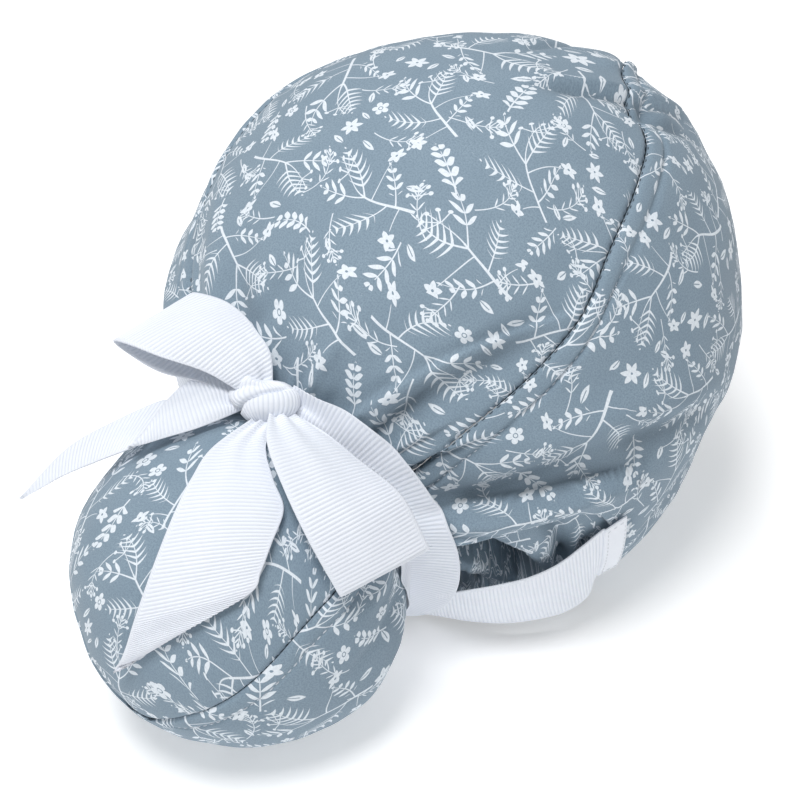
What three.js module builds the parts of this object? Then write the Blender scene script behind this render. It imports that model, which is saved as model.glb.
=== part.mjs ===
import * as THREE from 'three'

// Scrub cap with a hair pouch and a ribbon bow, lying on the floor on its rim and its pouch.
// Millimetres and degrees. +Z is up with the floor at z = 0, +X points from the pouch to the
// forehead, and -Y is the wearer's right.

// Every x below is measured from the crown's centre; the frame's origin lies here from it
const ORIGIN_X = -44.3

// Crown: a ball of cloth round CROWN_CENTRE_Z, its opening on the floor
const CROWN_CENTRE_Z = 82
const CROWN_FRONT = 101
const CROWN_BACK = 104
const CROWN_SIDE = 101
const CROWN_UP = 104
const CROWN_DOWN = 106
const HEM_RADIUS = 54 // edge of the turned-in hem on the floor
const FLAT = 0.5 // cloth lower than this lies on the floor
const CLOTH = 1.5 // wall of the cotton, seam allowances counted in
const SEAM_GAP = 0.22 // each panel stops this far from the seam line

// Neck: its axis runs from the crown's centre to the pouch's
const NECK_OPENING = 24.6 // half angle of the hole that the neck makes in the crown
const SEAM_AT_NECK = 56 // round the neck's axis from the top

// Nape casing: cloth gathered on elastic, set in behind the band's edge
const CASING_INSET = 2.6
const CASING_END = 69 // degrees round from the back, behind the sewn ribbon
const RUFFLE = 2.4 // how deep the gathers go, half of it
const RUFFLES = 21
const HEM_SHARE = 0.5 // share of each half that runs along the band's edge

// Pouch: a smaller ball that the neck opens into
const POUCH_X = -129
const POUCH_Z = 54
const POUCH_LONG = 57
const POUCH_WIDE = 56
const POUCH_TALL = 55.5
const POUCH_OPENING = 50.5 // half angle of the hole that the neck makes in the pouch

// Ribbon: grosgrain
const RIBBON_WIDTH = 38
const RIBBON = 1.0

// Knot: a rolled pad
const KNOT = { x: -108.4, y: 1.6, z: 115.1, across: 11.5, tall: 7.4, deep: 6, turn: -54.5, tip: 30 }

// How finely each panel is divided
const CROWN_ROWS = 27
const CROWN_COLUMNS = 20
const BAND_STEPS = [0, 0.07, 0.21, 0.36, 0.51, 0.66, 0.79, 0.89, 0.96, 1]
const CASING_COLUMNS = 84
const CASING_STEPS = [0, 0.25, 0.5, 0.75, 1]
const POUCH_ROWS = 17
const POUCH_COLUMNS = 11
const POUCH_SIDE_COLUMNS = 16

// The crown's seam: how far round from the top it runs, by the angle from the neck's axis
const CROWN_SEAM = [
  { theta: 24.6, phi: 56 },
  { theta: 33.5, phi: 55.4 },
  { theta: 48, phi: 52.8 },
  { theta: 63.5, phi: 51.4 },
  { theta: 76.5, phi: 49.2 },
  { theta: 87, phi: 45.9 },
  { theta: 94.5, phi: 43.8 },
  { theta: 102, phi: 42 },
  { theta: 108.5, phi: 40.2 },
  { theta: 116, phi: 38.2 },
  { theta: 122, phi: 35.6 },
  { theta: 130, phi: 33 },
  { theta: 141, phi: 31 },
  { theta: 150, phi: 26 },
]

// The band's lower edge: degrees round from the back and height, by the seam's angle above it
const BAND_HEM = [
  { theta: 24.6, back: 24.5, height: 60 },
  { theta: 33, back: 32.6, height: 64 },
  { theta: 42, back: 42, height: 68.5 },
  { theta: 52, back: 52, height: 70.8 },
  { theta: 60, back: 59.6, height: 70.6 },
  { theta: 66, back: 64.5, height: 64 },
  { theta: 72, back: 68.5, height: 48 },
  { theta: 77, back: 72.5, height: 22 },
  { theta: 82, back: 77.5, height: 0 },
  { theta: 100, back: 96, height: 0 },
  { theta: 120, back: 116, height: 0 },
  { theta: 150, back: 156, height: 0 },
]

// Gathers and folds on the crown's right half, mirrored to the left: each runs between two
// places and stands up by height, or sinks where height is negative
const CROWN_FOLDS = [
  { theta1: 27, phi1: 12, theta2: 58, phi2: 15, height: 1.1, wide: 5 },
  { theta1: 27, phi1: 22, theta2: 62, phi2: 25, height: -1.0, wide: 4.5 },
  { theta1: 27, phi1: 30, theta2: 74, phi2: 42, height: 1.6, wide: 5.5 },
  { theta1: 27, phi1: 42, theta2: 66, phi2: 47, height: -1.3, wide: 5 },
  { theta1: 27, phi1: 62, theta2: 100, phi2: 78, height: 2.4, wide: 9 },
  { theta1: 27, phi1: 69, theta2: 68, phi2: 74, height: -2.8, wide: 4 },
  { theta1: 27, phi1: 78, theta2: 78, phi2: 84, height: 2.2, wide: 7 },
  { theta1: 104, phi1: 17, theta2: 152, phi2: 31, height: -3.2, wide: 5.5 },
  { theta1: 104, phi1: 11, theta2: 154, phi2: 22, height: 2.4, wide: 5 },
  { theta1: 126, phi1: 25, theta2: 156, phi2: 13, height: -1.8, wide: 4 },
  { theta1: 146, phi1: 40, theta2: 172, phi2: 75, height: 2.4, wide: 11 },
]

// The pouch's seam: degrees along its top from the neck, and degrees to the side
const POUCH_SEAM = [
  { along: 33.2, side: 39.8 },
  { along: 44, side: 48.5 },
  { along: 58, side: 55.5 },
  { along: 75, side: 60.5 },
  { along: 93.5, side: 62.3 },
  { along: 108, side: 61.2 },
  { along: 120, side: 59.2 },
  { along: 133, side: 56.4 },
  { along: 145, side: 52.8 },
  { along: 155, side: 48.4 },
  { along: 162.5, side: 43.8 },
  { along: 168, side: 38.8 },
  { along: 173, side: 33.2 },
  { along: 178, side: 26.4 },
  { along: 182.5, side: 19.5 },
  { along: 187, side: 12.6 },
  { along: 190.8, side: 6.5 },
]

// Folds on the pouch, round its axis from the top, from the neck to theta2
const POUCH_FOLDS = [
  { phi1: 8, phi2: 10, theta2: 92, height: 0.9, wide: 5 },
  { phi1: 20, phi2: 22, theta2: 96, height: -0.9, wide: 4 },
  { phi1: 45, phi2: 48, theta2: 88, height: 1.0, wide: 5 },
  { phi1: 74, phi2: 78, theta2: 84, height: 1.2, wide: 5 },
  { phi1: 90, phi2: 92, theta2: 70, height: -1.6, wide: 4 },
  { phi1: 108, phi2: 106, theta2: 76, height: 1.3, wide: 5 },
  { phi1: 140, phi2: 132, theta2: 84, height: -1.0, wide: 5 },
]

// Ribbon strap: its upper and lower edge, in degrees round from the back and height, and how
// far each stands off the ball
const STRAP = [
  { back1: 70.2, height1: 61, off1: 0.5, back2: 74.2, height2: 28.8, off2: 0.5 },
  { back1: 65.7, height1: 58.5, off1: 0.5, back2: 71, height2: 20, off2: 1 },
  { back1: 60.2, height1: 54, off1: 0.8, back2: 68.8, height2: 10, off2: 3 },
  { back1: 55.2, height1: 48, off1: 1, back2: 64.2, height2: 5.4, off2: 5 },
  { back1: 50.2, height1: 41.5, off1: 1, back2: 57.2, height2: 3.4, off2: 6.4 },
  { back1: 44.2, height1: 37.8, off1: 0.8, back2: 48.7, height2: 2.6, off2: 6 },
  { back1: 37.7, height1: 35.9, off1: 0.6, back2: 39.7, height2: 2.4, off2: 4.6 },
  { back1: 31.2, height1: 34, off1: 0.5, back2: 30.2, height2: 2.6, off2: 2.4 },
  { back1: 27.6, height1: 32, off1: 0.3, back2: 23.5, height2: 3, off2: 1 },
]

// Neck wrap across its width: place on the crown or the pouch and how far off it
const WRAP_EDGE = 34.6
const WRAP_INNER = 29.4
const WRAP_POUCH_INNER = 54
const WRAP_POUCH_EDGE = 62
const WRAP_OFF_CROWN = 3.5
const WRAP_OFF_POUCH = 1.8
const WRAP_START = 13 // degrees round from the knot
const WRAP_STEPS = 42

// Bow pieces: the two edges of the ribbon at each place along it, and how far its middle
// bulges outwards
const LOOP_LEFT = [
  { x1: -101.7, y1: 9.6, z1: 121.0, x2: -112.9, y2: 10.8, z2: 120.5, bulge: 0 },
  { x1: -98.5, y1: 17.1, z1: 127.5, x2: -117.5, y2: 17.2, z2: 126.0, bulge: 1.2 },
  { x1: -95.7, y1: 26.5, z1: 132.5, x2: -124.2, y2: 28.9, z2: 130.5, bulge: 2 },
  { x1: -94.4, y1: 37.9, z1: 134.0, x2: -127.0, y2: 41.5, z2: 133.0, bulge: 1.2 },
  { x1: -92.7, y1: 43.7, z1: 132.0, x2: -127.0, y2: 47.8, z2: 131.0, bulge: 0 },
  { x1: -92.3, y1: 41.4, z1: 128.3, x2: -125.2, y2: 45.4, z2: 126.4, bulge: -0.6 },
  { x1: -93.6, y1: 31.9, z1: 125.0, x2: -121.0, y2: 34.3, z2: 121.0, bulge: -1.2 },
  { x1: -97.3, y1: 23.5, z1: 120.5, x2: -114.9, y2: 22.6, z2: 117.5, bulge: -0.8 },
  { x1: -100.6, y1: 14.4, z1: 117.3, x2: -109.6, y2: 14.4, z2: 115.7, bulge: 0 },
]
const LOOP_RIGHT = [
  { x1: -115.3, y1: -6.9, z1: 117.2, x2: -107.2, y2: -9.2, z2: 113.0, bulge: 0 },
  { x1: -126.0, y1: -14.6, z1: 117.5, x2: -105.2, y2: -22.2, z2: 110.0, bulge: 1.6 },
  { x1: -136.8, y1: -30.4, z1: 112.5, x2: -104.6, y2: -37.8, z2: 104.5, bulge: 2.4 },
  { x1: -142.3, y1: -44.4, z1: 101.4, x2: -105.3, y2: -52.3, z2: 99.5, bulge: 2.2 },
  { x1: -142.7, y1: -54.0, z1: 88.4, x2: -106.4, y2: -62.1, z2: 86.6, bulge: 0.8 },
  { x1: -141.6, y1: -55.2, z1: 84.2, x2: -105.4, y2: -63.4, z2: 82.2, bulge: 0 },
  { x1: -139.5, y1: -52.1, z1: 84.4, x2: -103.7, y2: -60.2, z2: 82.4, bulge: 0.4 },
  { x1: -138.4, y1: -42.1, z1: 97.4, x2: -102.2, y2: -49.9, z2: 94.6, bulge: 1.2 },
  { x1: -132.8, y1: -28.9, z1: 108.0, x2: -102.2, y2: -36.2, z2: 100.4, bulge: 1.4 },
  { x1: -121.5, y1: -14.7, z1: 112.8, x2: -104.2, y2: -21.4, z2: 108.4, bulge: 0.8 },
  { x1: -114.3, y1: -8.3, z1: 113.6, x2: -108.4, y2: -11.0, z2: 112.2, bulge: 0 },
]
const TAIL_LEFT = [
  { x1: -107.8, y1: 15.2, z1: 113.6, x2: -116.7, y2: 10.4, z2: 114.4, bulge: 0 },
  { x1: -109.8, y1: 25.7, z1: 113.0, x2: -128.2, y2: 14.0, z2: 114.0, bulge: 1.2 },
  { x1: -115.1, y1: 32.9, z1: 110.3, x2: -136.7, y2: 19.2, z2: 112.0, bulge: 1.4 },
  { x1: -125.5, y1: 39.3, z1: 107.3, x2: -141.8, y2: 27.8, z2: 105.4, bulge: 1 },
  { x1: -135.8, y1: 45.8, z1: 103.2, x2: -146.3, y2: 37.0, z2: 98.6, bulge: 0.6 },
  { x1: -148.2, y1: 53.8, z1: 96.4, x2: -152.0, y2: 46.7, z2: 91.4, bulge: 0.3 },
  { x1: -161.9, y1: 60.6, z1: 85.2, x2: -161.3, y2: 57.4, z2: 83.6, bulge: 0 },
]
const TAIL_FRONT = [
  { x1: -115.0, y1: -1.9, z1: 114.4, x2: -112.0, y2: -6.2, z2: 111.9, bulge: 0 },
  { x1: -134.0, y1: 0.8, z1: 113.4, x2: -122.4, y2: -11.2, z2: 111.8, bulge: 0.6 },
  { x1: -147.4, y1: -1.2, z1: 110.8, x2: -131.2, y2: -21.1, z2: 108.9, bulge: 1.8 },
  { x1: -158.3, y1: -3.3, z1: 106.0, x2: -136.8, y2: -29.6, z2: 104.6, bulge: 3.2 },
  { x1: -170.2, y1: -5.4, z1: 97.4, x2: -147.9, y2: -33.4, z2: 100.0, bulge: 3.6 },
  { x1: -178.8, y1: -5.7, z1: 86.8, x2: -155.6, y2: -35.0, z2: 94.6, bulge: 3.9 },
  { x1: -183.6, y1: -5.2, z1: 78.6, x2: -161.4, y2: -35.0, z2: 89.9, bulge: 4.1 },
  { x1: -187.0, y1: -3.9, z1: 69.4, x2: -171.2, y2: -29.0, z2: 85.2, bulge: 3.4 },
  { x1: -189.0, y1: -2.0, z1: 62.4, x2: -179.6, y2: -21.0, z2: 78.8, bulge: 2.2 },
  { x1: -189.6, y1: 0.8, z1: 56.4, x2: -188.8, y2: -2.6, z2: 60.4, bulge: 0.2 },
]

const PRINTED_COTTON = new THREE.MeshStandardMaterial({ color: 0x8a9aa8, roughness: 0.9 })
const WHITE_GROSGRAIN = new THREE.MeshStandardMaterial({ color: 0xf1f3f6, roughness: 0.7 })

const group = new THREE.Group()
group.name = 'scrub_cap'

const rad = THREE.MathUtils.degToRad
const deg = THREE.MathUtils.radToDeg
const mix = THREE.MathUtils.lerp
const V = (x, y, z) => new THREE.Vector3(x, y, z)
const CROWN_CENTRE = V(0, 0, CROWN_CENTRE_Z)
const POUCH_CENTRE = V(POUCH_X, 0, POUCH_Z)
const NECK_AXIS = POUCH_CENTRE.clone().sub(CROWN_CENTRE).normalize()
const RIGHT = V(0, -1, 0)
const NECK_UP = V(0, 0, 1).addScaledVector(NECK_AXIS, -NECK_AXIS.z).normalize()

function smooth(from, to, x) {
  const t = Math.min(1, Math.max(0, (x - from) / (to - from)))
  return t * t * (3 - 2 * t)
}

// The lesser of two distances, with the change from one to the other rounded over width
function softMin(a, b, width) {
  const low = Math.min(a, b)
  return low - width * Math.log(1 + Math.exp(-Math.abs(a - b) / width))
}

// A table's column at a value of its key column, on a smooth curve through the rows
function curveAt(rows, key, at, column) {
  let i = 0
  while (i < rows.length - 2 && at > rows[i + 1][key]) i += 1
  const a = rows[i]
  const b = rows[i + 1]
  const before = rows[Math.max(0, i - 1)]
  const after = rows[Math.min(rows.length - 1, i + 2)]
  const width = b[key] - a[key]
  const t = Math.min(1, Math.max(0, (at - a[key]) / width))
  const slopeA = (b[column] - before[column]) / (b[key] - before[key])
  const slopeB = (after[column] - a[column]) / (after[key] - a[key])
  const t2 = t * t
  const t3 = t2 * t
  return (2 * t3 - 3 * t2 + 1) * a[column] + (t3 - 2 * t2 + t) * width * slopeA +
    (3 * t2 - 2 * t3) * b[column] + (t3 - t2) * width * slopeB
}

// The same by the row's number, for tables whose rows are places along a strip
function curveAlong(rows, at, column) {
  const i = Math.min(rows.length - 2, Math.floor(at))
  const t = at - i
  const a = rows[i][column]
  const b = rows[i + 1][column]
  const before = rows[Math.max(0, i - 1)][column]
  const after = rows[Math.min(rows.length - 1, i + 2)][column]
  return 0.5 * (2 * a + (b - before) * t + (2 * before - 5 * a + 4 * b - after) * t * t +
    (3 * a - before - 3 * b + after) * t * t * t)
}

function slerp(a, b, t) {
  const angle = a.angleTo(b)
  const s = Math.sin(angle)
  return a.clone().multiplyScalar(Math.sin((1 - t) * angle) / s)
    .addScaledVector(b, Math.sin(t * angle) / s)
}

// Directions from the crown's centre by the angle from the neck's axis and the angle round it
function neckDirection(theta, phi) {
  const t = rad(theta)
  const p = rad(phi)
  return NECK_AXIS.clone().multiplyScalar(Math.cos(t))
    .addScaledVector(NECK_UP, Math.sin(t) * Math.cos(p))
    .addScaledVector(RIGHT, Math.sin(t) * Math.sin(p))
}

// How high one fold lifts the cloth at (theta, phi)
function foldLift(fold, theta, phi, millimetres) {
  const t = (theta - fold.theta1) / (fold.theta2 - fold.theta1)
  const away = (phi - mix(fold.phi1, fold.phi2, t)) * Math.sin(rad(theta)) * millimetres
  const fade = smooth(0, 0.3, t) * (1 - smooth(0.55, 1.05, t))
  return fold.height * fade * Math.exp(-((away / fold.wide) ** 2))
}

function crownPoint(direction, lift = 0) {
  const u = direction.clone().normalize()
  const alongX = u.x > 0 ? CROWN_FRONT : CROWN_BACK
  const alongZ = u.z > 0 ? CROWN_UP : CROWN_DOWN
  let r = 1 / Math.hypot(u.x / alongX, u.y / CROWN_SIDE, u.z / alongZ)
  const theta = deg(NECK_AXIS.angleTo(u))
  const phi = deg(Math.atan2(Math.abs(u.dot(RIGHT)), u.dot(NECK_UP)))
  for (const fold of CROWN_FOLDS) r += foldLift(fold, theta, phi, 1.8)
  r += lift
  if (u.z < -0.2) r = softMin(r, CROWN_CENTRE_Z / -u.z, 1)
  const p = u.multiplyScalar(r).add(CROWN_CENTRE)
  if (p.z < FLAT) p.z = 0
  return p
}

// Direction to a place given by degrees round from the back, towards the right, and height
function crownDirection(back, height) {
  const below = (height - CROWN_CENTRE_Z) / (height < CROWN_CENTRE_Z ? CROWN_DOWN : CROWN_UP)
  const a = rad(back)
  const r = height <= 0 ? HEM_RADIUS : CROWN_SIDE * Math.sqrt(1 - below * below)
  return V(-r * Math.cos(a), -r * Math.sin(a), height - CROWN_CENTRE_Z).normalize()
}

// Directions from the pouch's centre: along its top from the neck, and to the side
function pouchDirection(along, side) {
  const a = rad(along)
  const s = rad(side)
  return NECK_AXIS.clone().multiplyScalar(-Math.cos(s) * Math.cos(a))
    .addScaledVector(NECK_UP, Math.cos(s) * Math.sin(a))
    .addScaledVector(RIGHT, Math.sin(s))
}

// The same by the angle from the pouch's far end and the angle round its axis
function pouchPolar(theta, phi) {
  const t = rad(theta)
  const p = rad(phi)
  return NECK_AXIS.clone().multiplyScalar(Math.cos(t))
    .addScaledVector(NECK_UP, Math.sin(t) * Math.cos(p))
    .addScaledVector(RIGHT, Math.sin(t) * Math.sin(p))
}

function pouchPoint(direction, lift = 0) {
  const u = direction.clone().normalize()
  let r = 1 / Math.hypot(u.x / POUCH_LONG, u.y / POUCH_WIDE, u.z / POUCH_TALL)
  const theta = deg(NECK_AXIS.angleTo(u))
  const phi = deg(Math.atan2(Math.abs(u.dot(RIGHT)), u.dot(NECK_UP)))
  for (const fold of POUCH_FOLDS) r += foldLift({ ...fold, theta1: 131 }, theta, phi, 1)
  r += lift
  if (u.z < -0.2) r = softMin(r, POUCH_Z / -u.z, 1)
  const p = u.multiplyScalar(r).add(POUCH_CENTRE)
  if (p.z < FLAT) p.z = 0
  return p
}

// A node of a panel: its place on a surface and the surface's normal there
function nodeOn(surface, direction, lift = 0) {
  const step = 0.004
  const side = Math.abs(direction.z) < 0.9 ? V(0, 0, 1) : V(1, 0, 0)
  const a = direction.clone().cross(side).normalize()
  const b = direction.clone().cross(a).normalize()
  const at = (d, k) => surface(direction.clone().addScaledVector(d, k * step), lift)
  const alongA = at(a, 1).sub(at(a, -1))
  const alongB = at(b, 1).sub(at(b, -1))
  const normal = alongA.cross(alongB).normalize()
  if (normal.dot(direction) < 0) normal.negate()
  return { p: surface(direction, lift), n: normal }
}

// Pulls one border of a grid back from a seam
function pullBack(nodes, inner, by) {
  nodes.forEach((node, i) => {
    const way = inner[i].p.clone().sub(node.p).normalize()
    node.p.addScaledVector(way, by)
  })
}

// Normals of a grid from its own points, for strips that lie on no surface
function ownNormals(places, flip) {
  return places.map((row, i) => row.map((p, j) => {
    const up = places[Math.min(i + 1, places.length - 1)][j]
    const down = places[Math.max(i - 1, 0)][j]
    const right = row[Math.min(j + 1, row.length - 1)]
    const left = row[Math.max(j - 1, 0)]
    const n = up.clone().sub(down).cross(right.clone().sub(left)).normalize()
    return { p: p.clone(), n: flip ? n.negate() : n }
  }))
}

// A closed wall between a grid of nodes and the same grid moved inwards
function addWall(name, grid, thickness, material) {
  const rows = grid.length
  const columns = grid[0].length
  const places = []
  for (const inward of [0, thickness]) {
    for (const row of grid) {
      for (const node of row) {
        const p = node.p.clone().addScaledVector(node.n, -inward)
        places.push(p.x - ORIGIN_X, p.y, Math.max(0, p.z))
      }
    }
  }
  const inner = rows * columns
  const at = (i, j) => i * columns + j
  const faces = []
  const quad = (a, b, c, d) => faces.push(a, b, c, a, c, d)
  for (let i = 0; i < rows - 1; i += 1) {
    for (let j = 0; j < columns - 1; j += 1) {
      quad(at(i, j), at(i + 1, j), at(i + 1, j + 1), at(i, j + 1))
      quad(inner + at(i, j), inner + at(i, j + 1), inner + at(i + 1, j + 1), inner + at(i + 1, j))
    }
  }
  for (let j = 0; j < columns - 1; j += 1) {
    quad(at(0, j), at(0, j + 1), inner + at(0, j + 1), inner + at(0, j))
    const k = rows - 1
    quad(at(k, j + 1), at(k, j), inner + at(k, j), inner + at(k, j + 1))
  }
  for (let i = 0; i < rows - 1; i += 1) {
    quad(at(i + 1, 0), at(i, 0), inner + at(i, 0), inner + at(i + 1, 0))
    const k = columns - 1
    quad(at(i, k), at(i + 1, k), inner + at(i + 1, k), inner + at(i, k))
  }
  addMesh(name, places, faces, material)
}

// Adds a mesh with its faces turned outwards
function addMesh(name, places, faces, material) {
  const point = (i) => V(places[3 * i], places[3 * i + 1], places[3 * i + 2])
  let volume = 0
  for (let i = 0; i < faces.length; i += 3) {
    volume += point(faces[i]).dot(point(faces[i + 1]).cross(point(faces[i + 2])))
  }
  if (volume < 0) {
    for (let i = 0; i < faces.length; i += 3) {
      const swap = faces[i]
      faces[i] = faces[i + 1]
      faces[i + 1] = swap
    }
  }
  const geometry = new THREE.BufferGeometry()
  geometry.setAttribute('position', new THREE.Float32BufferAttribute(places, 3))
  geometry.setIndex(faces)
  geometry.computeVertexNormals()
  const mesh = new THREE.Mesh(geometry, material)
  mesh.name = name
  group.add(mesh)
}

const even = (count) => Array.from({ length: count + 1 }, (_, i) => i / count)

// Crown panel: rows at a constant angle from the neck's axis, between the two seams
const crownThetas = even(CROWN_ROWS).map((t) => mix(NECK_OPENING, 150, t))
const seamPhi = (theta) => curveAt(CROWN_SEAM, 'theta', theta, 'phi')
const crownGrid = crownThetas.map((theta) => even(CROWN_COLUMNS).map((s) => {
  const phi = mix(seamPhi(theta), -seamPhi(theta), s)
  return nodeOn(crownPoint, neckDirection(theta, phi))
}))
const seamStations = [
  ...crownThetas.map((theta) => ({ theta, phi: seamPhi(theta) })),
  ...even(CROWN_COLUMNS).slice(1, -1).map((s) => ({ theta: 150, phi: mix(26, -26, s) })),
  ...crownThetas.map((theta) => ({ theta, phi: -seamPhi(theta) })).reverse(),
]
const lastRow = crownGrid.length - 1
for (const row of crownGrid) {
  pullBack([row[0], row[CROWN_COLUMNS]], [row[1], row[CROWN_COLUMNS - 1]], SEAM_GAP)
}
pullBack(crownGrid[lastRow], crownGrid[lastRow - 1], SEAM_GAP)
addWall('crown_panel', crownGrid, CLOTH, PRINTED_COTTON)

// Side band: from each station of the seam down to the hem
function hemDirection(station) {
  const sign = station.phi < 0 ? -1 : 1
  let back = curveAt(BAND_HEM, 'theta', station.theta, 'back')
  const height = Math.max(0, curveAt(BAND_HEM, 'theta', station.theta, 'height'))
  if (station.theta > 149.9) back = mix(156, 180, 1 - Math.abs(station.phi) / 26)
  const d = crownDirection(back, height < 2 ? 0 : height)
  return V(d.x, d.y * sign, d.z)
}
const bandColumns = seamStations.map((station) => {
  const top = neckDirection(station.theta, station.phi)
  const bottom = hemDirection(station)
  return BAND_STEPS.map((t) => nodeOn(crownPoint, slerp(top, bottom, t)))
})
for (const column of bandColumns) pullBack([column[0]], [column[1]], SEAM_GAP)
addWall('side_band', bandColumns, CLOTH, PRINTED_COTTON)

// Nape casing: gathered between the band's rear ends, tucked behind its edge
const HEM_BY_BACK = BAND_HEM.filter((row) => row.back > 30 && row.back < 72)
function casingColumn(w) {
  const sign = w < 0.5 ? 1 : -1
  const half = 1 - Math.abs(2 * w - 1)
  const onHem = half < HEM_SHARE
  let top
  let bottomBack
  let inset
  if (onHem) {
    const t = half / HEM_SHARE
    const back = mix(CASING_END, 34, t)
    const hem = curveAt(HEM_BY_BACK, 'back', back, 'height')
    const tuck = mix(5, -2.5, smooth(0.72, 1, t))
    top = crownDirection(back, hem + tuck)
    bottomBack = mix(CASING_END + 2, 33, t)
    inset = CASING_INSET
  } else {
    const t = (half - HEM_SHARE) / (1 - HEM_SHARE)
    const phi = mix(96, 180, t)
    const theta = mix(31, NECK_OPENING + 0.6, smooth(0, 0.25, t))
    top = neckDirection(theta, phi)
    bottomBack = mix(33, 0, t)
    inset = mix(CASING_INSET, 1.2, smooth(0, 0.3, t))
  }
  const bottom = crownDirection(bottomBack, 5)
  const ruffle = Math.cos(w * Math.PI * 2 * RUFFLES)
  return CASING_STEPS.map((v) => {
    const deep = inset + RUFFLE * Math.sin(Math.PI * Math.min(1, v * 1.15)) * (1 + ruffle)
    const node = nodeOn(crownPoint, slerp(top, bottom, v), -deep)
    return { p: V(node.p.x, node.p.y * sign, node.p.z), n: V(node.n.x, node.n.y * sign, node.n.z) }
  })
}
addWall('nape_casing', even(CASING_COLUMNS).map(casingColumn), CLOTH, PRINTED_COTTON)

// Pouch: stations along its seam, shared by its top and its side panel
const pouchStations = even(POUCH_ROWS).map((t) => {
  const at = t * (POUCH_SEAM.length - 1)
  return { along: curveAlong(POUCH_SEAM, at, 'along'), side: curveAlong(POUCH_SEAM, at, 'side') }
})
const pouchTop = pouchStations.map((station, k) => even(POUCH_COLUMNS).map((s) => {
  const across = 1 - 2 * s
  const start = deg(Math.asin(Math.sin(rad(POUCH_OPENING)) * Math.sin(rad(SEAM_AT_NECK * across))))
  const rise = Math.sin(rad(POUCH_OPENING)) * Math.cos(rad(SEAM_AT_NECK * across))
  const neckAlong = deg(Math.atan2(rise, Math.cos(rad(POUCH_OPENING))))
  const first = POUCH_SEAM[0].along
  const last = POUCH_SEAM[POUCH_SEAM.length - 1].along
  const along = mix(neckAlong, last, (station.along - first) / (last - first))
  const side = k === 0 ? start : station.side * across
  return nodeOn(pouchPoint, pouchDirection(along, side))
}))
for (const row of pouchTop) {
  pullBack([row[0], row[POUCH_COLUMNS]], [row[1], row[POUCH_COLUMNS - 1]], SEAM_GAP)
}
pullBack(pouchTop[POUCH_ROWS], pouchTop[POUCH_ROWS - 1], 2 * SEAM_GAP)
addWall('pouch_top_panel', pouchTop, CLOTH, PRINTED_COTTON)
const pouchSide = pouchStations.map((station) => {
  const d = pouchDirection(station.along, station.side)
  const theta = deg(NECK_AXIS.angleTo(d))
  const phi = deg(Math.atan2(d.dot(RIGHT), d.dot(NECK_UP)))
  return even(POUCH_SIDE_COLUMNS).map((s) => {
    return nodeOn(pouchPoint, pouchPolar(theta, mix(phi, 360 - phi, s)))
  })
})
for (const row of pouchSide) {
  pullBack([row[0], row[POUCH_SIDE_COLUMNS]], [row[1], row[POUCH_SIDE_COLUMNS - 1]], SEAM_GAP)
}
addWall('pouch_side_panel', pouchSide, CLOTH, PRINTED_COTTON)

// Ribbon straps: sewn to the band's rear ends, then along the nape to the neck
function strapGrid(sign) {
  const places = even(12).map((t) => {
    const at = t * (STRAP.length - 1)
    const row = (column) => curveAlong(STRAP, at, column)
    return even(3).map((s) => {
      const top = crownDirection(row('back1'), row('height1'))
      const bottom = crownDirection(row('back2'), row('height2'))
      const p = crownPoint(slerp(top, bottom, s), mix(RIBBON, RIBBON, s))
      const off = mix(row('off1'), row('off2'), s * s)
      const level = Math.hypot(p.x, p.y)
      p.x *= 1 + off / level
      p.y *= 1 + off / level
      p.y *= sign
      return p
    })
  })
  return ownNormals(places, sign < 0)
}
function facing(grid, centre) {
  const node = grid[Math.floor(grid.length / 2)][1]
  if (node.n.dot(node.p.clone().sub(centre)) < 0) {
    for (const row of grid) for (const each of row) each.n.negate()
  }
  return grid
}
addWall('ribbon_strap_right', facing(strapGrid(1), CROWN_CENTRE), RIBBON, WHITE_GROSGRAIN)
addWall('ribbon_strap_left', facing(strapGrid(-1), CROWN_CENTRE), RIBBON, WHITE_GROSGRAIN)

// Neck wrap: one ribbon round the neck, creased into the groove, its two ends at the knot
const wrapPlaces = even(WRAP_STEPS).map((t) => {
  const phi = mix(WRAP_START, 360 - WRAP_START, t)
  const near = 1 - smooth(WRAP_START, 40, Math.min(phi, 360 - phi))
  const edge = mix(WRAP_EDGE, 31.5, near)
  const round = neckDirection(90, phi)
  const bottom = CROWN_CENTRE.clone().addScaledVector(NECK_AXIS, 95.5).addScaledVector(round, 46.6)
  const places = [
    crownPoint(neckDirection(edge, phi), WRAP_OFF_CROWN),
    crownPoint(neckDirection(WRAP_INNER, phi), WRAP_OFF_CROWN - 0.9),
    bottom,
    pouchPoint(pouchPolar(180 - WRAP_POUCH_INNER, phi), WRAP_OFF_POUCH),
    pouchPoint(pouchPolar(180 - WRAP_POUCH_EDGE, phi), WRAP_OFF_POUCH),
  ]
  const middle = CROWN_CENTRE.clone().addScaledVector(NECK_AXIS, 97).addScaledVector(round, 52)
  return places.map((p, k) => {
    const narrow = middle.clone().addScaledVector(NECK_AXIS, (k - 2) * 3)
    return p.lerp(narrow, near * 0.85)
  })
})
addWall('ribbon_neck_wrap', facing(ownNormals(wrapPlaces, false), CROWN_CENTRE
  .clone().addScaledVector(NECK_AXIS, 95)), RIBBON, WHITE_GROSGRAIN)

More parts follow.
